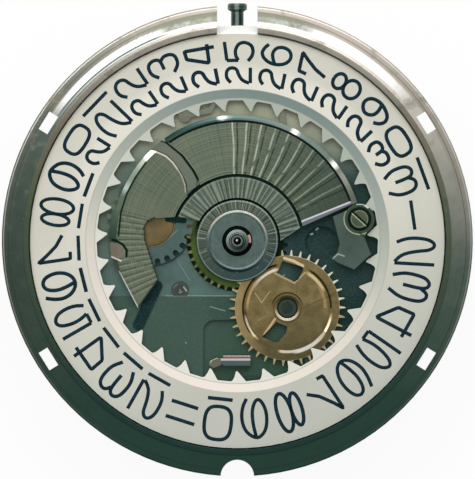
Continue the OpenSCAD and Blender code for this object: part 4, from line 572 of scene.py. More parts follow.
# Painted shade towards the lower right
tint(fan, "#2a4038", lean(fan, -20, -2.0, 4.6), 0.7, band(fan, radius, 0, 6.6, HARD))
rim = band(fan, radius, 6.67, 7.1, 0.01)
# Painted reflections, light and dark, along the polished bevel
shade(fan, angle, ((0.06, "#6f776b"), (0.085, "#9a9a8e"), (0.098, "#767a70"), (0.1055, "#fbf9ee"),
                   (0.114, "#5b665f"), (0.15, "#4f5b55"), (0.167, "#58605b"), (0.172, "#e3e5df"),
                   (0.178, "#545d59"), (0.22, "#4f5c58"), (0.255, "#50605d"), (0.264, "#78837f"),
                   (0.2695, "#f8faf4"), (0.276, "#485856"), (0.30, "#33464a"), (0.32, "#253833"),
                   (0.335, "#1a2b24"), (0.35, "#182721")), rim)
# Painted shade in the gutter inside the bevel, wider at the left
tint(fan, "#21332f", band(fan, radius, 6.6, 6.75), lean(fan, 180, -3, 1.5))
polish(fan, 0.3, rim)
tint(fan, "#16241f", band(fan, radius, 6.545, 6.66, 0.01))
# The bevel of the straight end: a band of painted reflection, a painted highlight and a painted shadow line
fold(fan, "#7e828c", 0.12, [(3.6, 0.9), (6.28, 2.06)])
fold(fan, "#e9eaee", 0.03, [(3.44, 1.03), (6.22, 2.14)])
fold(fan, "#1d2b2a", 0.025, [(3.5, 0.72), (6.35, 2.0)])
not_bevel = add(fan, "Math", {"operation": "SUBTRACT", 0: 1.0,
                              1: arc(fan, radius, angle, 6.9, 0.3, 10, 123, 0.02, 2)})
tint(fan, "#7b8276", band(fan, axis(fan, "Z"), 0, LOWER_LEAF_MM, HARD), not_bevel)
# A painted shadow along the left edge, and a thin painted highlight on that edge
fold(fan, "#14251f", 0.045, [(-4.4, 5.6), (-3.96, 5.47), (-3.06, 4.74), (-2.43, 3.89), (-2.18, 3.4)], 1.0,
     0.05)
fold(fan, "#9aa28f", 0.01, [(-3.8, 5.42), (-2.93, 4.72), (-2.3, 3.87)], 0.5)
wear(fan, "calendar_plate")
print("calendar plate: sunray brushed")

# %% [markdown]
# The minute-work cover at the left is brushed with the same rays. Its rim is painted with reflections,
# bright only at the top and dark below, and a painted shadow runs along its left edge. A raised ridge along
# its upper right end carries painted highlights, and its lower end carries deeper grooves, drawn in painted
# light and shade. The tongue that holds the date disc down lies in a bay of its left side: it is warmer in
# colour, the bay round it is painted dark as shade, and its lower edge carries a painted highlight. The
# strip below is painted darker towards the bottom as shade.

# %% Minute-work cover
cover = sunray("sunray_minute_work_cover", "#7a826f", "#697564", (208.0, 168.0, 13, 0.026), 0.25, "#9ea690",
               strength=0.6)
radius, angle = polar(cover)
rim = band(cover, radius, 6.67, 7.2, 0.01)
upwards = add(cover, "Math", {"operation": "ABSOLUTE", 0: angle})
# Painted reflections on the rim, bright only at the top
shade(cover, upwards, ((0.366, "#a9a391"), (0.377, "#f4f6f0"), (0.386, "#8b8e81"), (0.403, "#656d62"),
                       (0.417, "#5b675d"), (0.43, "#8f9a90"), (0.44, "#4c5b51"), (0.458, "#5b6759"),
                       (0.486, "#44574d"), (0.5, "#3d5046")), rim)
polish(cover, 0.3, rim)
# A painted shadow along the left edge, and painted highlights on the ridge at the upper right
fold(cover, "#1b2c25", 0.03, [(-5.05, 4.32), (-5.62, 3.5), (-6.1, 2.6), (-6.42, 1.6), (-6.56, 0.3)], 1.0,
     0.05)
fold(cover, "#ece2d3", 0.025, [(-4.85, 4.93), (-4.4, 4.88), (-3.93, 4.66), (-3.58, 4.34), (-3.3, 3.95)])
fold(cover, "#c9c6b6", 0.018, [(-3.3, 3.95), (-3.06, 3.56), (-2.9, 3.1), (-2.86, 2.7)], 0.8)
# Painted light and shade along the grooves and the inner edge at the lower end
fold(cover, "#dfe1d6", 0.035, [(-6.52, -1.72), (-5.5, -3.66)])
fold(cover, "#1f2f29", 0.03, [(-5.45, -3.62), (-4.4, -2.15)], 0.8)
fold(cover, "#22322b", 0.03, [(-4.38, -2.1), (-4.76, -1.0), (-5.1, 0.05), (-5.15, 0.73), (-4.95, 1.1),
                              (-4.56, 1.29)], 0.8)
tint(cover, "#857f71", stroke(cover, (-6.95, -0.45), (-6.5, -0.58), 0.36))
# Painted shade in the bay round the tongue, and a painted highlight on its lower edge
fold(cover, "#14231d", 0.05, [(-7.1, 0.1), (-6.7, 0.02), (-6.32, -0.2), (-6.1, -0.52), (-6.12, -0.85)])
fold(cover, "#efe4d6", 0.03, [(-7.02, -0.84), (-6.42, -1.1)])
# The strip below is painted darker towards the bottom as shade
shade(cover, lean(cover, 90, -0.2, 1.6), ((0.0, "#22352f"), (0.25, "#3d554c"), (1.0, "#587064")),
      band(cover, axis(cover, "Z"), 0, LOWER_LEAF_MM, HARD))
wear(cover, "minute_work_cover")
print("minute-work cover: sunray brushed")

# %% [markdown]
# The half ring round the hub was brushed with a coarser stroke, so its rays stand apart in light and dark.
# It is painted darker towards the lower right as shade, its edge carries a painted highlight, and its outer
# side and lower parts are painted dark as shade.

# %% Centre cover
centre = sunray("sunray_centre_cover", "#6b786c", "#56665b", (166.0, 2.0, 34, 0.018), 0.15, "#b2bbad",
                "#2c3f38", 0.6)
radius, angle = polar(centre)
tint(centre, "#3a4c44", streaks(centre, angle, 90, 0.5, 0.62, 4.0), 0.38)
# Painted shade towards the lower right
tint(centre, "#263a35", lean(centre, -25, 0.8, 3.4), 0.5)
tint(centre, "#a9b3a6", streaks(centre, angle, 75, 0.55, 0.62, 11.0), 0.55)
# A painted highlight on the edge, and painted shade on the side and the lower parts
tint(centre, "#96a092", band(centre, radius, 3.46, 3.5, 0.02), 0.6)
tint(centre, "#1a2b27", band(centre, radius, 3.53, FAR, HARD))
tint(centre, "#14231f", band(centre, axis(centre, "Z"), 0, 5.29, HARD))
fold(centre, "#9fb0aa", 0.02, [(-0.6, -0.3), (2.2, -0.09), (4.2, 1.22)], 0.5)
wear(centre, "centre_cover")
print("centre cover: coarse rays")

# %% [markdown]
# ## Hub washer
# The washer in the middle is brushed outwards on its flat ring and smooth blue-grey inside its bevelled
# rim. The flat ring is painted lighter towards the upper left; the bevelled rim carries a painted highlight
# at the top over painted shade at the bottom, with a painted shadow line outside it; the outer edge carries
# a painted highlight, and the bore is painted black as shade.

# %% Hub washer
hub = metal("brushed_washer", "#60726f", "#6d7f7a", 0.3, drift_mm=0.5, grain=0.2)
radius, angle = polar(hub)
outer = band(hub, radius, 1.69, FAR, HARD)
# The flat ring is painted lighter towards the upper left
shade(hub, lean(hub, 110, -2.2, 2.2), ((0.0, "#43575a"), (0.5, "#566359"), (1.0, "#6a7566")), outer)
upper = lean(hub, 90, -1.6, -0.6)
for count, low, colour, seed in ((110, 0.52, "#28392f", 2.0), (130, 0.55, "#a9b2a2", 9.0)):
    tint(hub, colour, streaks(hub, angle, count, low, low + 0.1, seed), upper, outer, 0.75)
tint(hub, "#7f8f90", band(hub, radius, 0, 1.55, HARD), streaks(hub, axis(hub, "X"), 14, 0.5, 0.75), 0.4)
# Painted highlight and shade on the bevelled rim and the outer edge, and painted shade in the bore
shade(hub, lean(hub, 85, -1.6, 1.6), ((0.0, "#2a3a3b"), (0.45, "#7c8a87"), (0.75, "#d9d4ca"),
                                      (1.0, "#f1ede4")), band(hub, radius, 1.58, 1.68, 0.02))
shade(hub, upper, ((0.0, "#24343a"), (1.0, "#5b695f")), band(hub, radius, 1.7, 1.74, 0.02))
tint(hub, "#9dada6", band(hub, radius, 2.17, 2.21, 0.02), 0.8)
tint(hub, "#101a18", band(hub, radius, 0, 0.84, HARD))
tint(hub, "#b8c4bf", specks(hub, 0.16, 0.12))
wear(hub, "hub_washer")
print("hub washer: rays outside, smooth inside")

# %% [markdown]
# ## Hour wheel
# The hour wheel is brass, and its colour is painted green as the reflection of the green plates. Its teeth
# are dark-edged, and it is painted dark as shade under the washer and towards the upper right. Its pipe is
# polished and painted from shade at the lower right to light at the upper left, the step round it is painted
# black as shade, and a copper-coloured painted highlight lies on the step.

# %% Hour wheel
hour = metal("green_lit_brass", "#46592f", "#586b38", 0.36, drift_mm=0.8)
radius, angle = polar(hour)
# Painted shade under the washer and in the gap at its edge
tint(hour, "#1c2a1b", band(hour, radius, 0, 2.26, HARD))
tint(hour, "#121d19", band(hour, radius, 0, 2.45, HARD), lean(hour, 40, -1.7, -1.1))
tint(hour, "#6d6c3d", band(hour, radius, 2.64, 3.2))
tint(hour, "#a39a66", streaks(hour, angle, 40, 0.45, 0.6), band(hour, radius, 2.6, 3.2, 0.02), 0.5)
# Painted shade to the upper right, black painted shade on the step, a copper painted highlight, and the pipe
# lit
tint(hour, "#18231e", lean(hour, 25, 0.9, 2.0))
tint(hour, "#0d1514", band(hour, radius, 0, 0.79, HARD))
tint(hour, "#d9b39a", band(hour, radius, 0.64, 0.76, 0.01), band(hour, angle, -0.02, 0.075, 0.005))
shade(hour, lean(hour, 120, -0.6, 0.6), ((0.0, "#3c4a48"), (0.6, "#7f8b85"), (1.0, "#b3bbb3")),
      band(hour, radius, 0, 0.63, HARD), band(hour, axis(hour, "Z"), 5.75, FAR, HARD))
wear(hour, "hour_wheel")
print("hour wheel: green-lit brass")

# %% [markdown]
# ## Pipes and pivots in the middle
# The cannon pinion and the seconds pivot end inside the pipe of the hour wheel. The pinion is painted
# darker towards the lower right as shade, the hole between them is painted black as shade, and the
# burnished end of the pivot carries one small white point of painted highlight.

# %% Cannon pinion
cannon = metal("polished_pipe", "#76837d", "#8a958f", 0.18, grain=0.05)
radius = polar(cannon)[0]
# Painted shade towards the lower right, and painted black shade in the hole
tint(cannon, "#394643", lean(cannon, -60, -0.1, 0.4))
tint(cannon, "#27322f", band(cannon, radius, 0.33, 0.37, 0.01))
tint(cannon, "#070c0b", band(cannon, radius, 0, 0.31, HARD))
wear(cannon, "cannon_pinion")
print("cannon pinion: polished")

# %% [markdown]
# ## Gilded wheels
# Train wheels are brass, gilded and grained in circles round their own axis; a wheel reads as gold only
# where it meets the light. Each wheel has its own centre, taken from its mesh, so its rings run true. The
# pinion in the same piece is steel: it is what lies within a small radius.

# %% Gilded wheels
def middle_of(name):
    """The centre of a node's box in millimetres, seen from above, which is its axis for a wheel."""
    corners = [nodes[name].matrix_world @ vertex.co for vertex in nodes[name].data.vertices]
    return [(min(corner[i] for corner in corners) + max(corner[i] for corner in corners)) / 2 / MM
            for i in (0, 1)]


def gilded(name, node_name, tone_a="#8f7a48", tone_b="#b29a5c", count=12, steel_r=0.0, centre=None,
           rough=0.26):
    """Circular-grained gilding round a wheel's own axis, with steel inside a radius."""
    made = metal(name, tone_a, tone_b, rough, grain=0.1)
    radius, angle = polar(made, centre or middle_of(node_name))
    tint(made, "#dcc78a", streaks(made, radius, count, 0.4, 0.7, len(name)), 0.55)
    sweep = add(made, "Math", {"operation": "ABSOLUTE", 0: angle})
    tint(made, "#6a5a35", streaks(made, sweep, 9, 0.35, 0.65, 3.0, 1.0), 0.35)
    if steel_r:
        tint(made, "#8d9794", band(made, radius, 0, steel_r, HARD))
    wear(made, node_name)
    return made


gilded("gilded_centre_wheel", "centre_wheel", centre=(0, 0), steel_r=0.62)
gilded("gilded_third_wheel", "third_wheel", steel_r=0.5)
gilded("gilded_barrel", "barrel_drum", count=7)
gilded("gilded_lid", "barrel_lid", count=9)
gilded("gilded_reduction_wheel", "reduction_wheel", steel_r=0.75)
gilded("gilded_reversing_wheel", "reversing_wheel")
gilded("gilded_balance", "balance_wheel", "#b59b58", "#c9b06a", steel_r=0.6, rough=0.16)
under_plates(gilded("gilded_minute_wheel", "minute_wheel", "#3b3c30", "#55523c", steel_r=0.72))
print("train wheels: gilded, circular-grained")

# %% [markdown]
# The arbor of the fourth wheel comes out in the middle as the seconds pivot. It is painted black as shade,
# but for a white point of painted highlight.

# %% Fourth wheel and seconds pivot
fourth = gilded("gilded_fourth_wheel", "fourth_wheel", centre=(0, 0), steel_r=0.5)
pivot = product(fourth, band(fourth, polar(fourth)[0], 0, 0.3, HARD),
                band(fourth, axis(fourth, "Z"), 5.2, FAR, HARD))
# Painted shade on the pivot and a painted highlight on its point
tint(fourth, "#0b1211", pivot)
tint(fourth, "#ffffff", pivot, stroke(fourth, (-0.03, 0.02), (-0.02, 0.05), 0.035, 0.02))
print("seconds pivot: burnished")

# %% [markdown]
# ## Date driving wheel
# This brass wheel is stamped: its middle stands up inside three grooves, and the wide scratches across it
# come from the tool. The lower edge of the middle is a painted bright arc, and painted shadows lie in the
# grooves. It is painted lighter to the left and darker towards the bottom, as light and shade, with a
# painted highlight in an arc at its upper right.

# %% Date driving wheel
date_x, date_y = middle_of("date_wheel_screw")
brass = metal("stamped_brass", "#83734e", "#98875e", 0.3, drift_mm=0.6, grain=0.3)
radius, angle = polar(brass, (date_x, date_y))
# Painted light to the left and painted shade towards the bottom
tint(brass, "#ab9468", lean(brass, 175, -1.3, 0.6), 0.4)
tint(brass, "#55503a", lean(brass, -80, 4.2, 6.6), 0.7)
tint(brass, "#5c5134", stains(brass, 0.12, 0.5, 0.7, 5.0, 0.7), 0.5)
tint(brass, "#d8c79b", band(brass, radius, 2.9, 3.3, 0.04), 0.7)
# A painted highlight in an arc at the upper right, and a lighter band at the left as painted light
tint(brass, "#f3ead4", arc(brass, radius, angle, 3.1, 0.2, 0, 88))
tint(brass, "#c3a678", band(brass, radius, 2.5, 2.86, 0.04), lean(brass, 185, -1.2, 0.4), 0.7)
print("date driving wheel: stamped brass")

# %% [markdown]
# The grooves are arcs of painted light and shade: radius, half width, first and last degree, colour and two
# fades for each. The tool's scratches and the painted highlights along the edges of the windows are
# straight.

# %% Grooves and edges of the date driving wheel
for at_mm, half_mm, first, last, colour, soft_mm, fade in (
        (2.45, 0.03, 106, 212, "#2d2918", 0.04, 5), (2.32, 0.02, 188, 216, "#4a4027", 0.04, 8),
        (2.20, 0.055, 108, 142, "#fff4dc", 0.04, 8), (2.20, 0.03, 142, 172, "#d2b27b", 0.05, 14),
        (2.36, 0.03, 196, 221, "#f6e3bf", 0.05, 8),
        (2.41, 0.03, 0, 57, "#352f1c", 0.04, 5), (2.22, 0.06, 30, 56, "#f1d7a4", 0.05, 8),
        (2.10, 0.05, 0, 28, "#b99c66", 0.07, 12), (2.41, 0.05, 262, 300, "#fbeeda", 0.05, 5),
        (2.45, 0.07, 284, 318, "#fff8ee", 0.06, 8), (2.45, 0.04, 318, 344, "#f3dfb8", 0.05, 10)):
    tint(brass, colour, arc(brass, radius, angle, at_mm, half_mm, first, last, soft_mm, fade))
for colour, half_mm, points, share, soft_mm in (
        ("#eac195", 0.05, [(-0.68, -0.6), (-1.26, -1.45)], 1.0, 0.03),
        ("#f6ddb2", 0.06, [(-0.16, 2.76), (0.35, 2.6), (0.86, 2.33)], 1.0, 0.03),
        ("#d8c493", 0.03, [(-0.7, 1.93), (0.39, 1.38), (0.97, 1.96)], 0.8, 0.03),
        ("#dcc590", 0.012, [(-1.77, 0.83), (-1.42, 0.3), (-0.97, 0.91)], 0.8, 0.02),
        ("#c3ab78", 0.01, [(-1.63, -0.7), (-1.2, -0.45)], 0.7, 0.02)):
    fold(brass, colour, half_mm, [(date_x + x, date_y + y) for x, y in points], share, soft_mm)
# The collar round the post: a painted highlight at the bottom and a painted shadow at the top
shade(brass, lean(brass, -95, 3.0, 4.2), ((0.0, "#4b4229"), (0.45, "#8d7a50"), (0.75, "#f7e6c6"),
                                          (1.0, "#fff6ea")), band(brass, radius, 0.58, 0.7, 0.02))
tint(brass, "#3b3420", band(brass, radius, 0.83, 0.88, 0.02), lean(brass, 90, -3.8, -3.2))
tint(brass, "#5d5134", band(brass, radius, 0.72, 0.8, 0.02), 0.5)
wear(brass, "date_driving_wheel", "date_finger")
print("date driving wheel: grooves and edges")

# %% [markdown]
# The post that the wheel turns on is grey, and its foot and side are painted dark as shade.

# %% Post of the date driving wheel
post = metal("grey_post", "#4f6257", "#5c6e61", 0.25, drift_mm=0.3, grain=0.15)
radius = polar(post, (date_x, date_y))[0]
tint(post, "#7d8d80", band(post, radius, 0.36, 0.44, 0.03), 0.5)
# The side and the foot are painted dark as shade
tint(post, "#26332c", band(post, radius, 0.5, FAR, HARD))
tint(post, "#1d2826", band(post, axis(post, "Z"), 0, 5.33, HARD), 0.6)
wear(post, "date_wheel_screw")
print("post: grey steel")

# %% [markdown]
# ## Steel parts
# Levers, springs, pinions and the wheels of the winding are steel. One function covers them: straight grain
# along a direction, rings or rays round the part's own middle, or only a few specks, and a tone for each
# part.

# %% Steel parts
def steel(name, tone_a, tone_b, node_names, finish="plain", rough=0.24, count=14, share=0.45, light="#aab4ae",
          angle_deg=0.0):
    """Steel with no grain, rings round its middle, rays from it, or straight grain at an angle."""
    made = metal(name, tone_a, tone_b, rough, grain=0.1)
    radius, angle = polar(made, middle_of(node_names[0]))
    if finish == "rings":
        mask = streaks(made, radius, count, 0.42, 0.7, len(name))
    elif finish == "rays":
        mask = streaks(made, angle, count, 0.42, 0.68, len(name))
    elif finish == "straight":
        mask = streaks(made, turned(made, -angle_deg)[1], count, 0.42, 0.7, len(name))
    else:
        mask = specks(made, 0.4, 0.07)
    tint(made, light, mask, share)
    wear(made, *node_names)
    return made


under_plates(steel("motion_steel", "#76827d", "#88948e", ["setting_wheel"], "rings"))
steel("lever_steel", "#8b8f80", "#999c8b", ["setting_lever", "yoke", "setting_lever_spring"], "straight",
      count=10, share=0.2)
steel("pinion_steel", "#6f7b78", "#848f8b", ["winding_pinion", "sliding_pinion"], "plain", rough=0.2)
steel("crown_wheel_steel", "#8c9692", "#a0a9a5", ["crown_wheel"], "rings", rough=0.2, share=0.6,
      light="#d4dad6")
steel("ratchet_wheel_steel", "#8c9692", "#a0a9a5", ["ratchet_wheel"], "rays", rough=0.2, count=160, share=0.6,
      light="#dbe0dc")
steel("click_steel", "#8a9490", "#9aa49f", ["click"], "straight", count=16, angle_deg=40)
steel("click_spring_steel", "#7d8b94", "#8f9ca3", ["click_spring"])
steel("arbor_steel", "#808a88", "#969f9c", ["barrel_arbor"], "rings")
steel("mainspring_steel", "#5f7080", "#74848f", ["mainspring"], "rings", count=40)
steel("escape_steel", "#98a19d", "#acb4b0", ["escape_wheel"], "rings", rough=0.15)
steel("reversing_pinion_steel", "#88928f", "#9aa39f", ["reversing_pinion"])
steel("rotor_gear_steel", "#959e99", "#a9b1ac", ["rotor_gear"], "rings", rough=0.18, share=0.5,
      light="#d8ddd9")
steel("race_steel", "#a2a9a5", "#b4bab6", ["bearing_race"], "rings", rough=0.12)
steel("ball_steel", "#c4cac7", "#d2d7d4", ["bearing_balls"], rough=0.05)
steel("regulator_steel", "#aab1ad", "#bcc2be", ["regulator"], "straight", rough=0.12, count=20)
print("steel parts ready")

# %% [markdown]
# ## Disc keeper and its screw
# The keeper at the right is a plain steel plate with a raised seat for its screw, round which lie painted
# shade and a bright arc of painted highlight; painted highlights also lie on its upper edge. The head of the
# screw is turned, with a painted shadow ring round it and a painted highlight ring inside, and its slot has a
# painted shadow on one side and a painted highlight on the other.

# %% Keeper and screw
keeper = steel("brushed_keeper", "#3b4d48", "#4c5e58", ["disc_keeper"], rough=0.34)
screw_x, screw_y = middle_of("keeper_screw")
radius = polar(keeper, (screw_x, screw_y))[0]
tint(keeper, "#6d7d74", lean(keeper, -60, 2.2, 4.6), 0.5)
tint(keeper, "#6f8078", lean(keeper, 150, -5.6, -4.4), 0.4)
tint(keeper, "#465948", band(keeper, radius, 0, 0.86, HARD))
# Painted shade round the head of the screw, and painted highlights on the seat and the upper edge
tint(keeper, "#18261f", band(keeper, radius, 0, 0.66, HARD))
tint(keeper, "#c2c0a8", band(keeper, radius, 0.83, 0.87, 0.02), lean(keeper, -125, -5.6, -4.2))
fold(keeper, "#e3eae4", 0.05, [(6.6, 2.06), (6.95, 2.06), (7.2, 1.86)])
fold(keeper, "#b9c6bf", 0.02, [(5.25, -0.98), (5.56, -0.72), (5.9, -0.84)], 0.8)
fold(keeper, "#1c2a26", 0.03, [(7.05, 0.22), (7.38, -0.66)], 0.8)
fold(keeper, "#22322c", 0.03, [(6.98, 0.25), (6.74, 0.45)], 0.8)

screw = steel("slotted_screw", "#5a6a56", "#6a785f", ["keeper_screw"], rough=0.2)
radius = polar(screw, (screw_x, screw_y))[0]
tint(screw, "#8f8a6c", lean(screw, 45, 5.7, 6.2), 0.6)
# A painted shadow ring round the head and a painted highlight ring inside it
tint(screw, "#1b2a22", band(screw, radius, 0.5, 0.62, 0.02))
tint(screw, "#94a088", band(screw, radius, 0.44, 0.47, 0.02))
# The slot: a painted shadow on one side and a painted highlight on the other
slot_x, slot_y = math.cos(math.radians(-42)), math.sin(math.radians(-42))
for aside, half_mm, colour in ((0.035, 0.035, "#0f1c16"), (-0.05, 0.015, "#c9ccb6")):
    ends = [(screw_x + reach * slot_x - aside * slot_y, screw_y + reach * slot_y + aside * slot_x)
            for reach in (-0.5, 0.5)]
    fold(screw, colour, half_mm, ends)
print("keeper and screw ready")

# %% [markdown]
# The date jumper at the bottom is a polished block: its upper edge carries a painted reflection of the pale
# disc as two white lines, and its face stays grey. A painted shadow lies along its foot.

# %% Date jumper
jumper = steel("jumper_steel", "#5f7376", "#6d8082", ["date_jumper"], rough=0.18)
# A painted reflection of the disc as white lines on the upper edge
body = lean(jumper, 0, -0.95, -0.9)
for low, high, soft, colour in ((-6.5, -6.3, 0.02, "#d9bdb9"), (-6.45, -6.42, 0.02, "#7d5f60"),
                                (-6.6, -6.52, 0.015, "#fbf2f2")):
    tint(jumper, colour, band(jumper, axis(jumper, "Y"), low, high, soft), body)
tint(jumper, "#868873", lean(jumper, 0, -0.9, -0.95))
fold(jumper, "#d2ccae", 0.03, [(-1.5, -6.72), (-1.38, -6.55), (-1.1, -6.46)])
# A painted shadow along the foot
fold(jumper, "#2d3f3d", 0.04, [(-0.8, -6.93), (0.7, -6.93)], 0.7)
print("date jumper: polished steel")

# %% [markdown]
# ## Intermediate wheel and its core
# The wheel at the left is grey steel with round teeth. Its middle is a copper-coloured disc that the left
# plate half covers.

# %% Intermediate wheel and core
wheel = steel("round_tooth_steel", "#556b69", "#617672", ["intermediate_wheel"], rough=0.36)
tint(wheel, "#6b7868", lean(wheel, 180, 6.2, 6.9), 0.8)
fold(wheel, "#8fa3a0", 0.01, [(-3.98, -0.05), (-3.3, 0.6)], 0.6)
under_plates(wheel)
core = metal("copper_core", "#5f5a41", "#83704f", 0.35, drift_mm=0.9)
radius = polar(core, middle_of("intermediate_core"))[0]
tint(core, "#8a744d", lean(core, -20, -4.8, -3.4), 0.6)
tint(core, "#b9a683", band(core, radius, 1.36, 1.45, 0.02))
tint(core, "#57503a", band(core, radius, 1.3, 1.35, 0.02))
under_plates(core)
wear(core, "intermediate_core")
print("intermediate wheel: grey with a copper core")

# %% [markdown]
# ## Stem
# The stem is dark steel. Its round shaft carries one painted highlight along its length, and the thread on
# the end outside the flange shows as fine light lines.

# %% Stem
stem = metal("dark_stem_steel", "#384c47", "#465b55", 0.22, drift_mm=1.0, grain=0.1)
# A painted highlight along the top of the shaft
tint(stem, "#8fa09a", band(stem, axis(stem, "X"), -0.12, 0.06))
along = axis(stem, "Y")
thread = add(stem, "Math", {"operation": "SINE", 0: product(stem, along, 45.0)})
tint(stem, "#9fb0aa", thread, band(stem, along, 12.8, 14, HARD), 0.3)
wear(stem, "stem")
print("stem: dark steel")

# %% [markdown]
# ## Bridges with stripes
# The back is where a movement is finished for show. The bridges carry broad stripes: bands about 1.3 mm
# wide, each one ground in arcs, so that its tone runs from light to dark across it. All bridges share the
# same stripes, as they are ground together. Their outlines get a polished edge from the Bevel node.

# %% Bridges
def striped(name, tone_a, tone_b, pitch_mm, angle_deg, node_names):
    """Broad ground stripes at an angle, each a soft ramp from light to dark."""
    made = metal(name, tone_a, tone_b, 0.26, grain=0.1, edge_mm=0.05)
    across, along = turned(made, angle_deg)
    line = add(made, "Math", {"operation": "FRACT", 0: product(made, across, 1 / pitch_mm)})
    tint(made, "#5f6863", line, line, 0.75)
    middle = add(made, "Math", {"operation": "SUBTRACT", 0: line, 1: 0.5})
    bow = add(made, "Math", {"operation": "MULTIPLY_ADD", 0: product(made, middle, middle), 1: 1.6,
                             2: along})
    tint(made, "#d6dbd6", streaks(made, bow, 22, 0.4, 0.7), 0.35)
    tint(made, "#e8ebe7", specks(made, 0.7, 0.05))
    wear(made, *node_names)


striped("striped_nickel", "#97a099", "#a4aca5", 1.3, 35.0,
        ["barrel_bridge", "train_bridge", "balance_cock", "automatic_bridge"])
striped("plain_bridge_nickel", "#8b948d", "#979f99", 0.9, -20.0, ["centre_bridge", "pallet_bridge"])
print("bridges: striped nickel")

# %% [markdown]
# ## Rotor
# The rotor's thin plate is brushed round the axis, and its heavy rim is a tungsten alloy, greyer and
# duller, with a polished outer edge.

# %% Rotor
rotor = metal("rotor_plate_nickel", "#99a29b", "#a8afa9", 0.26, edge_mm=0.04)
radius, angle = polar(rotor)
tint(rotor, "#d5dad5", streaks(rotor, angle, 260, 0.42, 0.68), 0.5)
tint(rotor, "#707a73", streaks(rotor, radius, 5, 0.4, 0.7, 2.0), 0.3)
wear(rotor, "rotor_plate")
weight = metal("rotor_weight_alloy", "#868a83", "#949891", 0.34, edge_mm=0.05)
radius = polar(weight)[0]
tint(weight, "#b9bcb5", streaks(weight, radius, 22, 0.42, 0.7), 0.5)
tint(weight, "#c4c7c1", band(weight, radius, 11.62, 11.8, 0.02))
wear(weight, "rotor_weight")
print("rotor: brushed, with a heavy rim")

# %% [markdown]
# ## Blued screws and the hairspring
# Screws are blued by heat: the colour runs from deep blue at the middle to a purple edge, and the slot
# stays dark. The hairspring is a blue alloy.

# %% Blued parts
blue = metal("blued_steel", "#243f78", "#2f5194", 0.14, drift_mm=0.5, grain=0.04)
facing = add(blue, "LayerWeight", {"Blend": 0.4})
tint(blue, "#4b2f6b", facing.outputs["Facing"], 0.7)
wear(blue, "bridge_screws", "ratchet_screw", "rotor_screw")

spring = metal("blued_hairspring", "#3c5a8c", "#4f70a4", 0.2, grain=0.0)
tint(spring, "#8fa9d0", specks(spring, 0.3, 0.05))
wear(spring, "hairspring")
print("blue screws and the hairspring")

# %% [markdown]
# ## Rubies
# Rubies are clear red stones with a polished dome. The one that is seen from the dial side lies deep in its
# oil cup: it is painted dark green as the reflection of the green plates and the shade of the cup, with a
# darker middle and painted highlights. The two pallet stones on the fork are red as well.

# %% Rubies and fork
ruby = metal("ruby", "#9c1a3c", "#c02a54", 0.06, drift_mm=0.4, grain=0.0, metallic=0.0,
             extra={"Transmission Weight": 0.35, "IOR": 1.76, "Coat Weight": 0.5})
radius = polar(ruby, (-3.16, -2.71))[0]
dial_side = band(ruby, axis(ruby, "Z"), 2.9, FAR, HARD)
# The stone seen from the dial side: painted reflection and shade, darker in the middle, painted highlights
tint(ruby, "#20392f", band(ruby, radius, 0, 0.56, HARD), dial_side)
tint(ruby, "#101f19", band(ruby, radius, 0, 0.3, HARD), dial_side)
fold(ruby, "#b3beb0", 0.03, [(-2.96, -2.56), (-2.8, -2.76)])
fold(ruby, "#5d7266", 0.03, [(-3.5, -2.56), (-3.3, -2.4)], 0.8)
fold(ruby, "#84a099", 0.04, [(-3.17, -2.84), (-3.09, -2.8)], 0.9)
wear(ruby, "jewels")

fork = metal("fork_steel", "#99a29e", "#adb5b1", 0.14, grain=0.04)
radius = polar(fork, middle_of("escape_wheel"))[0]
tint(fork, "#b02a4c", band(fork, radius, 1.7, 2.06, 0.005), band(fork, axis(fork, "Z"), 0, 3.53, HARD), 0.85)
wear(fork, "pallet_fork")
print("rubies and the pallet fork")

# %% [markdown]
# ## The print on the date disc
# The numerals run 1 to 31 round the disc, about 11.6 degrees apart, each with its top turned against the
# clock. They are drawn here as centre lines in a box one unit wide and one high, which are then set to the
# size measured in the picture, smoothed and given a thickness. A date print is squat and rounded, so the
# figures are wide for their height.

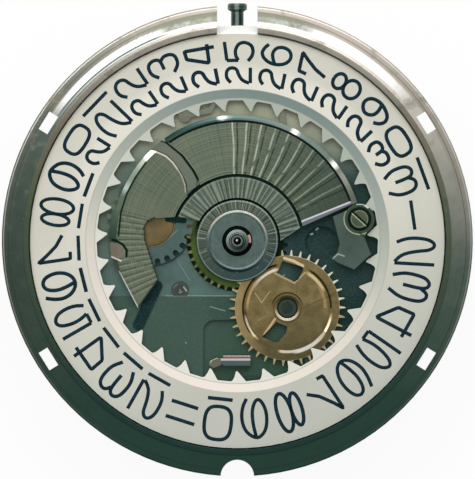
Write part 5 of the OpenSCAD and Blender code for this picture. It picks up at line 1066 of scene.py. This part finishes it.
# %% Shapes of the figures
SHARP = {"1", "4", "7"}
FIGURES = {
    "0": [[(0.5 + 0.5 * math.copysign(abs(math.cos(a)) ** 0.7, math.cos(a)),
            0.5 + 0.5 * math.copysign(abs(math.sin(a)) ** 0.7, math.sin(a)))
           for a in [math.tau * i / 24 for i in range(25)]]],
    "1": [[(0.5, 0.0), (0.5, 1.0)]],
    "2": [[(0.03, 0.8), (0.25, 0.95), (0.5, 1.0), (0.8, 0.97), (0.97, 0.84), (0.98, 0.68), (0.85, 0.55),
           (0.6, 0.5), (0.35, 0.42), (0.15, 0.3), (0.0, 0.05)], [(0.0, 0.0), (1.0, 0.0)]],
    "3": [[(0.02, 0.78), (0.3, 0.97), (0.6, 1.0), (0.85, 0.96), (0.98, 0.8), (0.95, 0.62), (0.8, 0.53),
           (0.33, 0.52)],
          [(0.8, 0.52), (0.97, 0.4), (0.98, 0.2), (0.85, 0.04), (0.6, 0.0), (0.3, 0.03), (0.0, 0.24)]],
    "4": [[(1.0, 0.22), (0.0, 0.26), (0.4, 0.97), (0.83, 1.0), (0.79, 0.0)]],
    "5": [[(1.0, 0.97), (0.02, 0.88)], [(0.02, 0.88), (0.03, 0.5)],
          [(0.03, 0.5), (0.3, 0.6), (0.6, 0.6), (0.9, 0.5), (1.0, 0.3), (0.85, 0.07), (0.55, 0.0),
           (0.25, 0.04), (0.0, 0.18)]],
    "6": [[(1.0, 0.82), (0.75, 0.95), (0.45, 1.0), (0.15, 0.85), (0.0, 0.55), (0.08, 0.25), (0.3, 0.06),
           (0.6, 0.0), (0.9, 0.1), (1.0, 0.33), (0.9, 0.55), (0.6, 0.65), (0.3, 0.6), (0.03, 0.5)]],
    "7": [[(0.03, 0.62), (0.03, 0.88), (1.0, 1.0), (0.75, 0.75), (0.45, 0.4), (0.25, 0.0)]],
    "8": [[(0.5 + 0.42 * math.sin(math.tau * i / 20),
            0.78 + 0.21 * math.cos(math.tau * i / 20)) for i in range(21)],
          [(0.5 + 0.5 * math.sin(math.tau * i / 20),
            0.29 + 0.28 * math.cos(math.tau * i / 20)) for i in range(21)]],
    "9": [[(0.95, 0.5), (0.6, 0.42), (0.25, 0.45), (0.02, 0.65), (0.1, 0.85), (0.4, 1.0), (0.8, 0.93),
           (1.0, 0.65), (0.98, 0.4), (0.8, 0.1), (0.5, 0.0), (0.2, 0.08), (0.0, 0.27)]],
}
print(len(FIGURES), "figures drawn")

# %% [markdown]
# The boxes below are in pixels of the picture, from the centre of the disc outwards: where the figure
# starts, where it ends and how high it is. Single figures are wider than those of a pair, and a 1 is only a
# bar.

# %% Boxes of the figures
def boxes(number):
    """The figures of one date, each with its inner radius, outer radius and height in pixels."""
    text = str(number)
    tens, unit = text[0], text[-1]
    if number == 1:
        return [("1", 176.4, 178.4, 29.6)]
    if number < 10:
        return [(unit, 158.0, 198.0, 26.0)]
    if number == 11:
        return [("1", 170.7, 172.7, 27.7), ("1", 187.1, 189.1, 30.0)]
    if number < 20:
        return [("1", 157.9, 159.9, 24.9), (unit, 166.5, 199.8, 27.0)]
    if unit == "1":
        return [(tens, 158.6, 188.6, 26.7), ("1", 196.5, 198.5, 34.0)]
    return [(tens, 157.8, 173.4, 24.2), (unit, 180.0, 199.0, 30.0)]


print(boxes(24))

# %% [markdown]
# Printing ink is a matt blue-black layer on the paint, a little worn in tiny spots.

# %% Printing ink
ink = metal("date_ink", "#031d29", "#062d3b", 0.6, drift_mm=0.6, grain=0.1, metallic=0.0,
            extra={"Specular IOR Level": 0.12})
tint(ink, "#2f5a60", stains(ink, 0.09, 0.62, 0.75, 3.0), 0.4)
print("ink: matt blue-black")

# %% [markdown]
# Each date becomes one mesh. Its lines are smoothed with points between them, then laid on the disc as a
# ribbon with a thickness of ink: a curve with a round profile, pressed flat, does both. A real pad print
# never has the same weight twice, so the width varies slightly from date to date.

# %% Dates on the disc
DATE_PITCH = 11.613
TOP_DATE = 25
LEFT_OF_TOP = 0.055 / 9.85
PRESSED = 0.06
random.seed(31)


def smooth_line(points, cut, rounds=2):
    """Corner cutting: each round puts two points near each corner and keeps both ends."""
    for _ in range(rounds):
        rounded = [points[0]]
        for (ax, ay), (bx, by) in zip(points, points[1:]):
            rounded.append((ax + (bx - ax) * cut, ay + (by - ay) * cut))
            rounded.append((bx - (bx - ax) * cut, by - (by - ay) * cut))
        points = rounded + [points[-1]]
    return points


def print_date(number):
    """Draws one date as a flat ribbon of ink and lays it on the disc."""
    curve = bpy.data.curves.new(f"date_{number:02d}", "CURVE")
    curve.dimensions = "3D"
    curve.bevel_mode = "ROUND"
    curve.bevel_depth = random.uniform(0.096, 0.104) * MM
    curve.bevel_resolution = 3
    curve.use_fill_caps = True
    middle = math.radians(90 - (number - TOP_DATE) * DATE_PITCH) - LEFT_OF_TOP
    for figure, inner, outer, height in boxes(number):
        for line in FIGURES[figure]:
            line = smooth_line(line, 0.05 if figure in SHARP else 0.25)
            spline = curve.splines.new("POLY")
            spline.points.add(len(line) - 1)
            for point, (x, y) in zip(spline.points, line):
                out = (inner + (outer - inner) * x) / PIXELS_PER_MM * MM
                along = (y - 0.5) * height / PIXELS_PER_MM * MM
                point.co = (out * math.cos(middle) - along * math.sin(middle),
                            out * math.sin(middle) + along * math.cos(middle), 0, 1)
    shape = bpy.data.objects.new(f"date_{number:02d}", curve)
    bpy.context.scene.collection.objects.link(shape)
    bpy.ops.object.select_all(action="DESELECT")
    shape.select_set(True)
    bpy.context.view_layer.objects.active = shape
    bpy.ops.object.convert(target="MESH")
    shape = bpy.context.object
    for vertex in shape.data.vertices:
        vertex.co.z = DISC_HEIGHT + vertex.co.z * PRESSED
    bpy.ops.object.mode_set(mode="EDIT")
    bpy.ops.mesh.select_all(action="SELECT")
    bpy.ops.mesh.remove_doubles(threshold=0.0000002)
    bpy.ops.mesh.normals_make_consistent(inside=False)
    bpy.ops.object.mode_set(mode="OBJECT")
    shape.data.materials.clear()
    shape.data.materials.append(ink)
    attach(shape, "date_disc")


for number in range(1, 32):
    print_date(number)
print(number, "dates printed")
